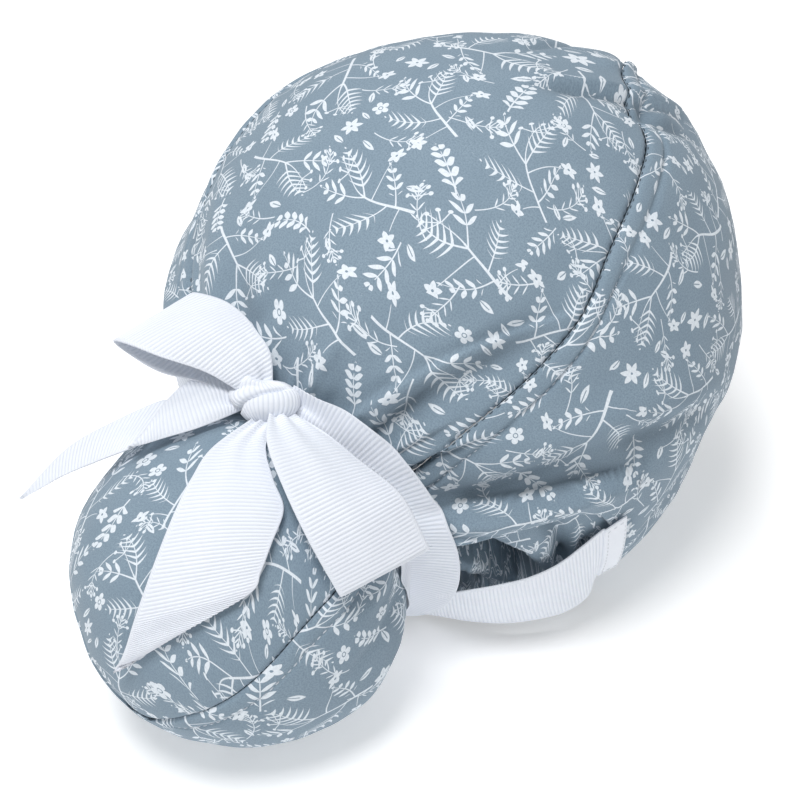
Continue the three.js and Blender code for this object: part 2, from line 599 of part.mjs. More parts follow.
// Knot: a smooth pad, its long axis across the neck
{
  const around = 16
  const rings = 10
  const places = []
  const faces = []
  const turn = new THREE.Euler(rad(-KNOT.tip), 0, rad(KNOT.turn), 'ZXY')
  const place = (u) => {
    const squared = (x) => Math.sign(x) * Math.abs(x) ** 0.8
    const p = V(squared(u.x) * KNOT.across, squared(u.y) * KNOT.deep, squared(u.z) * KNOT.tall)
    return p.applyEuler(turn).add(V(KNOT.x, KNOT.y, KNOT.z))
  }
  const put = (p) => places.push(p.x - ORIGIN_X, p.y, p.z)
  put(place(V(1, 0, 0)))
  for (let i = 1; i < rings; i += 1) {
    for (let j = 0; j < around; j += 1) {
      const a = Math.PI * i / rings
      const b = 2 * Math.PI * j / around
      put(place(V(Math.cos(a), Math.sin(a) * Math.cos(b), Math.sin(a) * Math.sin(b))))
    }
  }
  put(place(V(-1, 0, 0)))
  const at = (i, j) => 1 + (i - 1) * around + (j % around)
  const end = 1 + (rings - 1) * around
  for (let j = 0; j < around; j += 1) {
    faces.push(0, at(1, j), at(1, j + 1))
    faces.push(end, at(rings - 1, j + 1), at(rings - 1, j))
    for (let i = 1; i < rings - 1; i += 1) {
      faces.push(at(i, j), at(i + 1, j), at(i + 1, j + 1), at(i, j), at(i + 1, j + 1), at(i, j + 1))
    }
  }
  addMesh('bow_knot', places, faces, WHITE_GROSGRAIN)
}

// A strip of ribbon through a table of its two edges
function ribbonPlaces(rows, steps) {
  return even(steps).map((t) => {
    const at = t * (rows.length - 1)
    const row = (column) => curveAlong(rows, at, column)
    const a = V(row('x1'), row('y1'), row('z1'))
    const b = V(row('x2'), row('y2'), row('z2'))
    const ahead = Math.min(rows.length - 1, at + 0.1)
    const behind = Math.max(0, at - 0.1)
    const middle = (k) => V(
      curveAlong(rows, k, 'x1') + curveAlong(rows, k, 'x2'),
      curveAlong(rows, k, 'y1') + curveAlong(rows, k, 'y2'),
      curveAlong(rows, k, 'z1') + curveAlong(rows, k, 'z2'),
    )
    const normal = middle(ahead).sub(middle(behind)).cross(b.clone().sub(a)).normalize()
    if (normal.z < 0) normal.negate()
    return even(3).map((s) => a.clone().lerp(b, s)
      .addScaledVector(normal, row('bulge') * 4 * s * (1 - s)))
  })
}
addWall('bow_loop_left', ownNormals(ribbonPlaces(LOOP_LEFT, 18), false), RIBBON, WHITE_GROSGRAIN)
addWall('bow_loop_right', ownNormals(ribbonPlaces(LOOP_RIGHT, 20), false), RIBBON, WHITE_GROSGRAIN)
addWall('bow_tail_left', ownNormals(ribbonPlaces(TAIL_LEFT, 10), false), RIBBON, WHITE_GROSGRAIN)
addWall('bow_tail_front', ownNormals(ribbonPlaces(TAIL_FRONT, 11), false), RIBBON, WHITE_GROSGRAIN)

export default group
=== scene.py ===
# %% [markdown]
# # A scrub cap with a ribbon bow
# This lesson dresses a scrub cap: a ball of printed cotton for the head, a smaller pouch for
# the hair, and a white grosgrain ribbon that ties round the neck between them. The measured
# frame comes first, and each cloth piece then takes the place of one of its plain solids.

# %% Set up and load the frame
import math

import bpy
import numpy as np
from mathutils import Matrix, Vector


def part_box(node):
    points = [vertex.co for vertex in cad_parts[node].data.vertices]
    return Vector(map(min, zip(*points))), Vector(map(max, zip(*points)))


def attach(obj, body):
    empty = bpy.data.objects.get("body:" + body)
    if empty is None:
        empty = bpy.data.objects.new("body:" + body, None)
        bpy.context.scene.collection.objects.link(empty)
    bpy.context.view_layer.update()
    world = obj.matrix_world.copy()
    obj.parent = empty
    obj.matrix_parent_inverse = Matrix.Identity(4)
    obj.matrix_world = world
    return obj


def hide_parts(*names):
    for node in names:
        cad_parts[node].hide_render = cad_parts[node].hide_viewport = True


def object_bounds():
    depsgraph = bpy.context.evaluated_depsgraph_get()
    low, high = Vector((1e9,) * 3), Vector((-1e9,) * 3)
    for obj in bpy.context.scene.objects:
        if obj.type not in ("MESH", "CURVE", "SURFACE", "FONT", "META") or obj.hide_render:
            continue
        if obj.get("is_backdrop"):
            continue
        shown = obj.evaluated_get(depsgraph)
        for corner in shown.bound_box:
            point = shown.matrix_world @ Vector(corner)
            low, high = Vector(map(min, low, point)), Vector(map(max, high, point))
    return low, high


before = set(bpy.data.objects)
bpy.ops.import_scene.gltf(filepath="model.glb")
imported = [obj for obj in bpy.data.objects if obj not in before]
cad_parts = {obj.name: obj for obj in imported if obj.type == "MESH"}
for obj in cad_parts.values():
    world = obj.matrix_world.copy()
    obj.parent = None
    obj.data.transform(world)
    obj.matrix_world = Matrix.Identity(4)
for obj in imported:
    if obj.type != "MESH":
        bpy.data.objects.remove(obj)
cad_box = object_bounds()
for node in sorted(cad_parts):
    low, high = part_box(node)
    print(node, [round(1000 * (b - a)) for a, b in zip(low, high)], "mm")

# %% [markdown]
# Places here are in millimetres, measured from the floor under the middle of the crown. The
# solids' named sizes are used again, so that each panel lies close to its solid, and only the
# last step turns millimetres into Blender's metres and moves them to the frame's origin.

# %% Sizes of the ball, the pouch and the neck
ORIGIN_X = -44.3  # the frame's origin, from the crown's middle
CROWN_CENTRE = np.array([0.0, 0.0, 82.0])
CROWN_FRONT, CROWN_BACK, CROWN_SIDE, CROWN_UP, CROWN_DOWN = 101.0, 104.0, 101.0, 104.0, 106.0
HEM_RADIUS = 54.0  # edge of the turned-in hem on the floor
FLAT = 0.5  # cloth lower than this lies on the floor
POUCH_CENTRE = np.array([-129.0, 0.0, 54.0])
POUCH_SIZE = np.array([57.0, 56.0, 55.5])
NECK_OPENING = 24.6  # half angle of the hole in the crown
POUCH_OPENING = 50.5  # half angle of the hole in the pouch
SEAM_AT_NECK = 56.0  # degrees round the neck from the top
FRONT_THETA = 150.0  # where the crown panel ends over the forehead
CROWN_STEP, POUCH_STEP = 1.8, 1.0  # millimetres to a degree
CROWN_ARC, POUCH_ARC, POUCH_PRINT_ARC = 101.0, 56, 57  # millimetres to a radian
COTTON_THICK, CASING_THICK, RIBBON_THICK = 0.8, 0.7, 0.5
RIBBON_WIDTH = 38.0
RIB = 1.4  # from one rib of the grosgrain to the next


def unit(v):
    return v / np.linalg.norm(v, axis=-1, keepdims=True)


NECK_AXIS = unit(POUCH_CENTRE - CROWN_CENTRE)
RIGHT = np.array([0.0, -1.0, 0.0])
NECK_UP = unit(np.array([0.0, 0.0, 1.0]) - NECK_AXIS * NECK_AXIS[2])
print("neck axis", NECK_AXIS.round(3))

# %% [markdown]
# Tables hold what no formula gives: where the seams run, how the band's edge rises at the
# nape, and each gather and fold. A smooth curve through the rows gives every place between.

# %% Seams and edges
# theta: degrees from the neck's axis; phi: degrees round it from the top
CROWN_SEAM = [(24.6, 56.6), (33.2, 55.9), (40.9, 53.8), (48.3, 52.6), (63.7, 51.5), (76.6, 49.4),
              (86.9, 45.7), (94.3, 43.6), (101.7, 42), (108.2, 40.3), (114.7, 38.3),
              (118.4, 36.2), (121, 33.6), (124, 30.2), (128, 25.8), (135, 20.8), (142, 18.4),
              (150, 17)]
# theta of the seam above; degrees round from the back; height
BAND_HEM = [(24.6, 24.5, 60), (33, 32.6, 64), (42, 42, 69), (52, 52, 71.6),
            (60, 59.6, 70.6), (66, 64.5, 64), (72, 68.5, 48), (77, 72.5, 22), (82, 77.5, 0),
            (100, 96, 0), (120, 116, 0), (150, 156, 0)]
# degrees along the pouch's top from the neck; degrees to the side
POUCH_SEAM = [(33.2, 39.8), (44, 48.5), (58, 55.5), (75, 60.5), (93.5, 62.3), (108, 61.2),
              (120, 59.2), (133, 56.4), (145, 52.8), (155, 48.4), (162.5, 43.8),
              (168, 38.8), (173, 33.2), (178, 26.4), (182.5, 19.5), (187, 12.6),
              (190.8, 6.5)]

# %% Folds
# theta1, phi1, theta2, phi2, height, wide: mirrored to both sides
CROWN_FOLDS = [
    (27, 12, 58, 15, 1.1, 5), (27, 22, 62, 25, -1.0, 4.5), (27, 30, 74, 42, 1.6, 5.5),
    (27, 42, 66, 47, -1.3, 5), (27, 62, 100, 78, 2.4, 9), (27, 69, 68, 74, -2.8, 4),
    (27, 78, 78, 84, 2.2, 7), (146, 40, 172, 75, 2.4, 11),
]
# phi1, phi2, theta2, height, wide: each starts at the neck's edge
POUCH_FOLD_START = 131
POUCH_FOLDS = [
    (8, 10, 92, 0.9, 5), (20, 22, 96, -0.9, 4), (45, 48, 88, 1.0, 5), (74, 78, 84, 1.2, 5),
    (90, 92, 70, -1.6, 4), (108, 106, 76, 1.3, 5), (140, 132, 84, -1.0, 5),
]
# The finer ones of the cloth itself, each on one side: phi is + to the right
SOFT_FOLDS = [
    (27, 31, 76, 50, -3.0, 5.5), (58, 63, 108, 92, 2.4, 8), (64, 74, 104, 94, -3.0, 7),
    (38, -50, 80, -56, -1.8, 4), (34, -17, 62, -4, -1.6, 5), (33, -30, 66, -34, 1.4, 5),
    (33, 3, 60, 8, 1.0, 4), (36, -66, 74, -72, 1.6, 7), (30, -74, 60, -78, -2.1, 4),
    (118, 27.5, 138, 51, -3.0, 5), (112, 3, 158, 5.5, -2.0, 2.6), (126, 16, 142, 24, 1.2, 3),
    (110, -24, 146, -33, -2.2, 3), (120, -16, 150, -24, 1.3, 4), (84, 100, 120, 104, 1.2, 9),
    (70, 108, 100, 118, -1.4, 7), (50, 40, 96, 44, -0.9, 7), (80, 10, 118, 20, -0.7, 9),
    (70, -20, 110, -12, -0.8, 10), (92, 52, 128, 62, -1.0, 8),
]
# Overlapping folds, with a step along a line: theta1, phi1, theta2, phi2, and then the height
# and width of the cloth before the step and after it
STEP_FOLDS = [
    (22, 19.0, 84, 51.6, -2.0, 5, 3.8, 6.5), (26.5, 71.0, 84, 89.8, -6.5, 12, 4.2, 11),
    (24, 44, 50, 50, 1.2, 4, -1.8, 4), (23, 82, 46, 86, -1.5, 4, 1.0, 4),
    (22, 52, 52, 57, 1.0, 4, -3.2, 6), (24, 34, 52, 38, 1.2, 4, -2.2, 6),
    (22, 8, 50, 16, 1.0, 4, -1.6, 6), (24, 3, 44, 5, 0.8, 3, -1.4, 4),
    (24, -40, 56, -46, -1.6, 4, 1.2, 4), (22, -8, 46, -5, 1.2, 4, -1.2, 4),
    (104, 8.5, 150, 52, 2.0, 10, -3.4, 7), (129, 18, 152, 24, -0.5, 3, 0.9, 3),
]
# theta, phi, height and the two half sizes of a swelling or a dent
DENTS = [
    (98, 109, -6.8, 27, 27), (87, -50, 1.8, 34, 22), (131, -20, -3.2, 20, 14),
    (121, -33, -3.4, 20, 16), (126.5, 33.6, -3.4, 3.0, 3.4), (131, 37.5, 1.4, 5, 4),
    (137, 44, -1.8, 5, 3.0), (134, 29, -1.2, 3, 2.4),
]
# The same for the pouch
POUCH_DENTS = [(88, 120, 4.2, 24, 26), (36, -82, -2.0, 26, 24), (60, 140, 1.2, 16, 16)]
# The cloth stands fuller over the forehead than the plain ball: phi, height
FOREHEAD = [(-180, 0), (-60, 0), (-40, 0.2), (-28, 0.3), (-20, 0.8), (-12, 2.4), (0, 2.7),
            (8, 3.8), (15, 6.2), (20, 6.4), (27, 5.2), (33, 5.2), (39, 6.0), (47, 6.4),
            (55, 4.4), (68, 3.2), (85, -0.4), (100, -0.6), (120, 0), (180, 0)]


def smooth(a, b, x):
    t = np.clip((x - a) / (b - a), 0, 1)
    return t * t * (3 - 2 * t)


def mix(a, b, t):
    return a + (b - a) * t


def soft_min(a, b, width):
    return np.minimum(a, b) - width * np.log1p(np.exp(-np.abs(a - b) / width))


def curve_at(rows, at, column, key=0):
    """A table's column at a value of its key column, on a smooth curve through the rows."""
    rows = np.asarray(rows, float)
    at = np.asarray(at, float)
    last = len(rows) - 1
    i = np.clip(np.searchsorted(rows[:, key], at, side="left") - 1, 0, last - 1)
    a, b = rows[i], rows[i + 1]
    before, after = rows[np.maximum(i - 1, 0)], rows[np.minimum(i + 2, last)]
    width = b[..., key] - a[..., key]
    t = np.clip((at - a[..., key]) / width, 0, 1)
    slope_a = (b[..., column] - before[..., column]) / (b[..., key] - before[..., key])
    slope_b = (after[..., column] - a[..., column]) / (after[..., key] - a[..., key])
    t2, t3 = t * t, t * t * t
    return ((2 * t3 - 3 * t2 + 1) * a[..., column] + (t3 - 2 * t2 + t) * width * slope_a
            + (3 * t2 - 2 * t3) * b[..., column] + (t3 - t2) * width * slope_b)


def curve_along(rows, at):
    """All columns of a table at a row number, for rows that are places along a strip."""
    rows = np.asarray(rows, float)
    at = np.asarray(at, float)
    last = len(rows) - 1
    i = np.clip(np.floor(at).astype(int), 0, last - 1)
    t = (at - i)[..., None]
    a, b = rows[i], rows[i + 1]
    before, after = rows[np.maximum(i - 1, 0)], rows[np.minimum(i + 2, last)]
    return 0.5 * (2 * a + (b - before) * t + (2 * before - 5 * a + 4 * b - after) * t ** 2
                  + (3 * a - before - 3 * b + after) * t ** 3)


def slerp(a, b, t):
    angle = np.arccos(np.clip((a * b).sum(-1), -1, 1))[..., None]
    return (np.sin((1 - t) * angle) * a + np.sin(t * angle) * b) / np.sin(angle)


# %% [markdown]
# The crown and the pouch are balls of cloth that rest on the floor. Each is a function from a
# direction to a place: the ball's radius that way, raised by folds, and cut off softly by the
# floor. Working with directions keeps neighbouring panels on one common surface.

# %% The two balls
def neck_direction(theta, phi):
    t, p = np.radians(theta)[..., None], np.radians(phi)[..., None]
    return NECK_AXIS * np.cos(t) + (NECK_UP * np.cos(p) + RIGHT * np.sin(p)) * np.sin(t)


def neck_angles(u):
    theta = np.degrees(np.arccos(np.clip(u @ NECK_AXIS, -1, 1)))
    return theta, np.degrees(np.arctan2(u @ RIGHT, u @ NECK_UP))


def fold_lift(fold, theta, phi, millimetres):
    theta1, phi1, theta2, phi2, height, wide = fold
    t = (theta - theta1) / (theta2 - theta1)
    away = (phi - mix(phi1, phi2, t)) * np.sin(np.radians(theta)) * millimetres
    fade = smooth(0, 0.3, t) * (1 - smooth(0.55, 1.05, t))
    return height * fade * np.exp(-((away / wide) ** 2))


def step_lift(fold, theta, phi, crease_only=False):
    """A fold that lies over its neighbour: a rounded crest, and a sharp crease beside it."""
    theta1, phi1, theta2, phi2, before, before_wide, after, after_wide = fold
    t = (theta - theta1) / (theta2 - theta1)
    away = (phi - mix(phi1, phi2, t)) * np.sin(np.radians(theta)) * CROWN_STEP
    crest, crest_wide, crease, crease_wide = after, after_wide, before, before_wide
    if before > after:
        away = -away
        crest, crest_wide, crease, crease_wide = before, before_wide, after, after_wide
    fade = smooth(0, 0.25, t) * (1 - smooth(0.55, 1.0, t))
    high = crest * np.exp(-((np.maximum(away, 0) / crest_wide) ** 2))
    low = crease * np.exp(np.minimum(away, 0) / crease_wide)
    if crease_only:
        return fade * low * (1 - smooth(-0.4, 1.2, away))
    return fade * mix(low, high, smooth(-0.8, 0.45 * crest_wide, away))


def folded(theta, phi, crease_only=False):
    lift = np.zeros_like(theta)
    for fold in SOFT_FOLDS:
        lift = lift + fold_lift(fold, theta, phi, CROWN_STEP)
    for fold in STEP_FOLDS:
        lift = lift + step_lift(fold, theta, phi, crease_only)
    return lift


def fold_shade(u):
    """How far a place lies down in a fold, from 0 to 1: how much painted shade darkens the cloth
    there.
    """
    return np.clip((-0.8 - folded(*neck_angles(unit(u)), crease_only=True)) / 5.5, 0, 1)


def dents(table, theta, phi, millimetres):
    lift = np.zeros_like(theta)
    for theta1, phi1, height, long, wide in table:
        turn = (phi - phi1 + 180) % 360 - 180
        away = turn * np.sin(np.radians(theta)) * millimetres / wide
        lift = lift + height * np.exp(-(((theta - theta1) * millimetres / long) ** 2) - away ** 2)
    return lift


def settle(u, r, centre):
    """Puts a ball's places on the floor where they would sink into it."""
    floor = centre[2] / np.maximum(-u[..., 2], 1e-6)
    r = np.where(u[..., 2] < -0.2, soft_min(r, floor, 1), r)
    p = u * r[..., None] + centre
    p[..., 2] = np.where(p[..., 2] < FLAT, 0, p[..., 2])
    return p


def wander(u, size):
    """Slow unevenness of cloth, in millimetres, the same on each run."""
    x, y, z = u[..., 0] * size, u[..., 1] * size, u[..., 2] * size
    return (np.sin(1.9 * x + 1.3 * y + 0.4) * np.sin(2.3 * z - 1.1 * x + 1.7)
            + 0.6 * np.sin(3.7 * y + 2.9 * z + 0.9) * np.sin(4.1 * x - 1.7 * z + 2.2)
            + 0.3 * np.sin(7.3 * z + 3.1 * x) * np.sin(6.7 * y + 4.3 * x + 1.0))


def crown_point(u, lift=0.0, cloth=False):
    u = unit(u)
    reach = np.stack([np.where(u[..., 0] > 0, CROWN_FRONT, CROWN_BACK),
                      np.full(u.shape[:-1], CROWN_SIDE),
                      np.where(u[..., 2] > 0, CROWN_UP, CROWN_DOWN)], -1)
    r = 1 / np.linalg.norm(u / reach, axis=-1)
    theta, phi = neck_angles(u)
    for fold in CROWN_FOLDS:
        r = r + fold_lift(fold, theta, np.abs(phi), CROWN_STEP)
    if cloth:
        r = r + curve_at(FOREHEAD, phi, 1) * np.exp(-(((theta - 142) / 19) ** 2))
        r = r + folded(theta, phi) + dents(DENTS, theta, phi, CROWN_STEP)
        gather = (1.1 * np.abs(np.sin(np.radians(phi) * 9 + 0.3))
                  + 0.7 * np.abs(np.sin(np.radians(phi) * 15 + 1.0 + 0.02 * theta)) - 1.1)
        r = r + 2.6 * gather * np.exp(-np.maximum(theta - 27, 0) / 11)
        r = r + 0.4 * wander(u, 2.2) + 0.22 * wander(u[..., [1, 2, 0]], 6.5)
    return settle(u, r + lift, CROWN_CENTRE)


def crown_direction(back, height):
    height = np.asarray(height, float)
    below = (height - CROWN_CENTRE[2]) / np.where(height < CROWN_CENTRE[2], CROWN_DOWN, CROWN_UP)
    a = np.radians(back)
    r = np.where(height <= 0, HEM_RADIUS, CROWN_SIDE * np.sqrt(np.maximum(0, 1 - below ** 2)))
    return unit(np.stack([-r * np.cos(a), -r * np.sin(a), height - CROWN_CENTRE[2]], -1))


def pouch_point(u, lift=0.0, cloth=False):
    u = unit(u)
    r = 1 / np.linalg.norm(u / POUCH_SIZE, axis=-1)
    theta, phi = neck_angles(u)
    for phi1, phi2, theta2, height, wide in POUCH_FOLDS:
        fold = (POUCH_FOLD_START, phi1, theta2, phi2, height, wide)
        r = r + fold_lift(fold, theta, np.abs(phi), POUCH_STEP)
    if cloth:
        gather = (1.1 * np.abs(np.sin(np.radians(phi) * 8 + 1.1))
                  + 0.7 * np.abs(np.sin(np.radians(phi) * 13 + 0.3)) - 1.1)
        r = r + 2.2 * gather * np.exp(-np.maximum(129 - theta, 0) / 14)
        r = r + dents(POUCH_DENTS, theta, phi, POUCH_STEP)
        r = r + 0.35 * wander(u, 1.9) + 0.2 * wander(u[..., [1, 2, 0]], 4.6)
    return settle(u, r + lift, POUCH_CENTRE)


def pouch_direction(along, side):
    a, s = np.radians(along)[..., None], np.radians(side)[..., None]
    return -NECK_AXIS * np.cos(s) * np.cos(a) + NECK_UP * np.cos(s) * np.sin(a) + RIGHT * np.sin(s)


# %% [markdown]
# A panel is a grid of places with its own map in millimetres, so that a print keeps its scale
# on the cloth. Solidify then gives the sheet its real thickness, inwards from the outside.

# %% From a grid to a cloth object
def to_frame(places):
    return (places - np.array([ORIGIN_X, 0.0, 0.0])) / 1000


def grid_normals(places):
    along = np.gradient(places, axis=0)
    across = np.gradient(places, axis=1)
    n = np.cross(along, across)
    return n / np.maximum(np.linalg.norm(n, axis=-1, keepdims=True), 1e-9)


def add_map(mesh, name, pairs):
    mesh.uv_layers.new(name=name).data.foreach_set("uv", pairs.astype(np.float32).reshape(-1))


def link_smooth(name, mesh, finish):
    """An object in the scene for a mesh with smooth shading and one finish."""
    mesh.polygons.foreach_set("use_smooth", np.ones(len(mesh.polygons), bool))
    mesh.materials.append(finish)
    piece = bpy.data.objects.new(name, mesh)
    bpy.context.scene.collection.objects.link(piece)
    return piece


def make_sheet(name, places, print_map, thick, outward, finish, depth=None):
    """Places outside, thickness inwards; print_map in millimetres; depth, from 0 to 1, is painted fold
    shade.
    """
    rows, columns = places.shape[:2]
    number = np.arange(rows * columns).reshape(rows, columns)
    quads = np.stack([number[:-1, :-1], number[1:, :-1], number[1:, 1:], number[:-1, 1:]], -1)
    facing = (grid_normals(places) * outward).sum(-1).mean()
    if facing < 0:
        quads = quads[..., ::-1]
    quads = quads.reshape(-1, 4)
    mesh = bpy.data.meshes.new(name)
    mesh.from_pydata(to_frame(places).reshape(-1, 3).tolist(), [], quads.tolist())
    corners = quads.reshape(-1)
    add_map(mesh, "print", print_map.reshape(-1, 2)[corners])
    # The depth map carries painted shade that darkens the printed cotton in its folds.
    if depth is not None:
        add_map(mesh, "depth", np.stack([depth, depth], -1).reshape(-1, 2)[corners])
    piece = link_smooth(name, mesh, finish)
    solid = piece.modifiers.new("thickness", "SOLIDIFY")
    solid.thickness = thick / 1000
    solid.offset = -1.0
    solid.use_even_offset = False
    area = np.linalg.norm(np.cross(places[1:, :-1] - places[:-1, :-1],
                                   places[:-1, 1:] - places[:-1, :-1]), axis=-1).sum()
    print(name, len(quads), "faces,", round(area / 100, 1), "square centimetres")
    return piece


# %% [markdown]
# ## Finishes
# Shader maths is easier to read as sums than as a web of nodes, so a small class wraps a
# socket and each operator adds the Math node that it stands for.

# %% Shader maths
class Value:
    def __init__(self, finish, socket):
        self.finish = finish
        self.socket = socket

    def __add__(self, other):
        return self.finish.math("ADD", self, other)

    __radd__ = __add__

    def __sub__(self, other):
        return self.finish.math("SUBTRACT", self, other)

    def __rsub__(self, other):
        return self.finish.math("SUBTRACT", other, self)

    def __mul__(self, other):
        return self.finish.math("MULTIPLY", self, other)

    __rmul__ = __mul__

    def __truediv__(self, other):
        return self.finish.math("DIVIDE", self, other)

    def __abs__(self):
        return self.finish.math("ABSOLUTE", self)

    def __gt__(self, other):
        return self.finish.math("GREATER_THAN", self, other)

    def __lt__(self, other):
        return self.finish.math("LESS_THAN", self, other)


class Finish:
    def __init__(self, name):
        self.material = bpy.data.materials.new(name)
        self.material.use_nodes = True
        self.tree = self.material.node_tree
        self.shader = self.tree.nodes["Principled BSDF"]

    def node(self, kind, settings=None, **sockets):
        made = self.tree.nodes.new(kind)
        for key, value in (settings or {}).items():
            setattr(made, key, value)
        for key, value in sockets.items():
            place = int(key[1:]) if key[0] == "_" else key.replace("_", " ")
            self.join(made.inputs[place], value)
        return made

    def join(self, socket, value):
        if isinstance(value, Value):
            value = value.socket
        if isinstance(value, bpy.types.NodeSocket):
            self.tree.links.new(value, socket)
        else:
            socket.default_value = value

    def math(self, operation, *values, clamp=False):
        made = self.node("ShaderNodeMath", {"operation": operation, "use_clamp": clamp},
                         **{f"_{i}": value for i, value in enumerate(values)})
        return Value(self, made.outputs[0])

    def vector(self, operation, *values):
        made = self.node("ShaderNodeVectorMath", {"operation": operation},
                         **{f"_{i}": value for i, value in enumerate(values)})
        return made.outputs["Value" if operation == "LENGTH" else "Vector"]

    def split(self, vector):
        made = self.node("ShaderNodeSeparateXYZ", None, _0=vector)
        return [Value(self, made.outputs[i]) for i in range(3)]

    def blend(self, factor, a, b):
        made = self.node("ShaderNodeMix", {"data_type": "RGBA"}, _0=factor, _6=a, _7=b)
        return made.outputs[2]

    def noise(self, vector, scale, detail=2.0, rough=0.5):
        made = self.node("ShaderNodeTexNoise", {"noise_dimensions": "2D"}, Vector=vector,
                         Scale=scale, Detail=detail, Roughness=rough)
        return made

    def edge(self, value, soft=0.14):
        return self.math("MULTIPLY_ADD", value, 1 / soft, 0.5, clamp=True)

    def most(self, *values):
        top = values[0]
        for value in values[1:]:
            top = self.math("MAXIMUM", top, value)
        return top


# %% [markdown]
# ## The print
# The cotton is dusty blue-grey with a generic white botanical print: twigs, fern fronds, small
# leaves, berries and blossoms with five or six petals. It is worked out from the cloth's own
# map: the cloth is divided into cells, each cell turns its sprig by its own random angle, and
# three more sets of cells fill the gaps between. Each motif is a distance and a threshold.

# %% Motifs
def stalk(f, along, across, start, end, wide, thin):
    """A stem that narrows from wide to thin, half widths in millimetres."""
    part = f.math("MULTIPLY_ADD", along, 1 / (end - start), -start / (end - start))
    half = f.math("MULTIPLY_ADD", part, thin - wide, wide)
    inside = f.math("COMPARE", part, 0.5, 0.5)
    return f.edge(half - abs(across)) * inside


def leaflets(f, along, across, pitch, slope, length, taper, end, start, width, sweep=None):
    """Pairs of leaves along a stem: they sweep forward and shorten towards its tip."""
    side = abs(across)
    place = f.math("MULTIPLY_ADD", side, -slope, along)
    if sweep:
        place = f.math("MULTIPLY_ADD", side * side, sweep, place)
    off = f.math("PINGPONG", place, pitch / 2)
    reach = f.math("MINIMUM", f.math("MULTIPLY_ADD", place, -taper, taper * end), length)
    part = side / f.math("MAXIMUM", reach, 0.01)
    shape = (1 - part * part) * width if sweep else part * (1 - part) * (4 * width)
    return f.edge(shape - off) * (place > start)


def blossom(f, x, y, size, petals):
    """Rounded petals round a small ringed middle."""
    r = f.math("SQRT", x * x + y * y)
    wave = abs(f.math("COSINE", f.math("ARCTAN2", x, y) * (petals / 2)))
    petal = f.math("MULTIPLY_ADD", f.math("POWER", wave, 0.55), 0.62 * size, 0.38 * size)
    ring = f.math("COMPARE", r, 0.24 * size, 0.16)
    return f.edge(petal - r) * (1 - ring)


def star(f, x, y, size, petals, width):
    """Pointed petals."""
    r = f.math("SQRT", x * x + y * y)
    off = f.math("PINGPONG", f.math("ARCTAN2", x, y), math.pi / petals) * r
    part = r * (1 / size)
    return f.edge(part * (1 - part) * (4 * width) - off) * (r > 0.42)


def leaf(f, x, y, at_x, at_y, length, width):
    """One loose upright leaf, pointed at both ends, with a fine line along its middle."""
    part = f.math("MULTIPLY_ADD", y, 1 / length, 0.5 - at_y / length)
    off = abs(x - at_x)
    return f.edge(part * (1 - part) * (4 * width) - off) * (1 - f.edge(0.16 - off) * (part > 0.3))


def berries(f, x, y, size):
    """A fan of thin stalks, each with a berry at its end."""
    r = f.math("SQRT", x * x + y * y)
    off = f.math("PINGPONG", f.math("ARCTAN2", x, y), 0.33) * r
    line = f.edge(0.17 - off) * (r < size)
    far = r - size
    dot = f.edge(0.42 - (far * far + off * off))
    return f.most(line, dot) * (y > 0)


def turned(f, x, y, at, degrees, bow):
    """Places along and across a branch that starts at a point and leans from upright."""
    c, s = math.cos(math.radians(degrees)), math.sin(math.radians(degrees))
    along = f.math("MULTIPLY_ADD", x, s, f.math("MULTIPLY_ADD", y, c, -at * c))
    across = f.math("MULTIPLY_ADD", x, c, f.math("MULTIPLY_ADD", y, -s, at * s))
    return along, f.math("MULTIPLY_ADD", along * along, bow, across)


# %% Cells of the print
def cells(f, place, pitch, shift, seed, jitter):
    """The place inside a cell, turned by the cell's own angle, and its three random values."""
    moved = f.vector("ADD", place, (shift[0], shift[1], 0))
    scaled = f.vector("MULTIPLY", moved, (1 / pitch, 1 / pitch, 0))
    number = f.vector("FLOOR", scaled)
    seeded = f.vector("ADD", number, (seed, seed * 1.7, 0))
    random = f.node("ShaderNodeTexWhiteNoise", {"noise_dimensions": "2D"}, Vector=seeded)
    inner = f.vector("SUBTRACT", f.vector("SUBTRACT", scaled, number), (0.5, 0.5, 0))
    inner = f.vector("MULTIPLY", inner, (pitch, pitch, 0))
    sway = f.vector("SUBTRACT", random.outputs["Color"], (0.5, 0.5, 0.5))
    inner = f.vector("SUBTRACT", inner, f.vector("MULTIPLY", sway, (jitter, jitter, 0)))
    angle = Value(f, random.outputs["Value"]) * (2 * math.pi)
    spun = f.node("ShaderNodeVectorRotate", {"rotation_type": "Z_AXIS"}, Vector=inner,
                  Angle=angle)
    x, y, _ = f.split(spun.outputs[0])
    return x, y, f.split(random.outputs["Color"])


# Branches of the sprig. Start, lean and bow; the values of leaflets from pitch on; the stalk's
# length and half width
LEAFY_BRANCHES = [
    ((0, 36, 0.014), (3.8, 0.8, 4.0, 0.5, 19.5, 5.0, 0.95), (18, 0.28)),
    ((0, -38, -0.014), (2.3, 0.4, 4.8, 0.8, 18.8, 4.2, 0.46, -0.07), (16.5, 0.3)),
    ((-9, 72, 0.018), (2.2, 0.4, 4.2, 0.8, 18.0, 4.6, 0.44, -0.07), (16, 0.26)),
    ((-12, -66, -0.018), (3.3, 0.7, 2.9, 0.45, 17.2, 3.8, 0.85), (16, 0.24)),
]
# Start, lean and bow; the stalk's length; how far along the flower is, and its size
FLOWER_BRANCHES = [((-3, -73, 0.012), 14, 16.2, 3.0), ((-13.5, 88, -0.02), 8, 11, 3.1)]


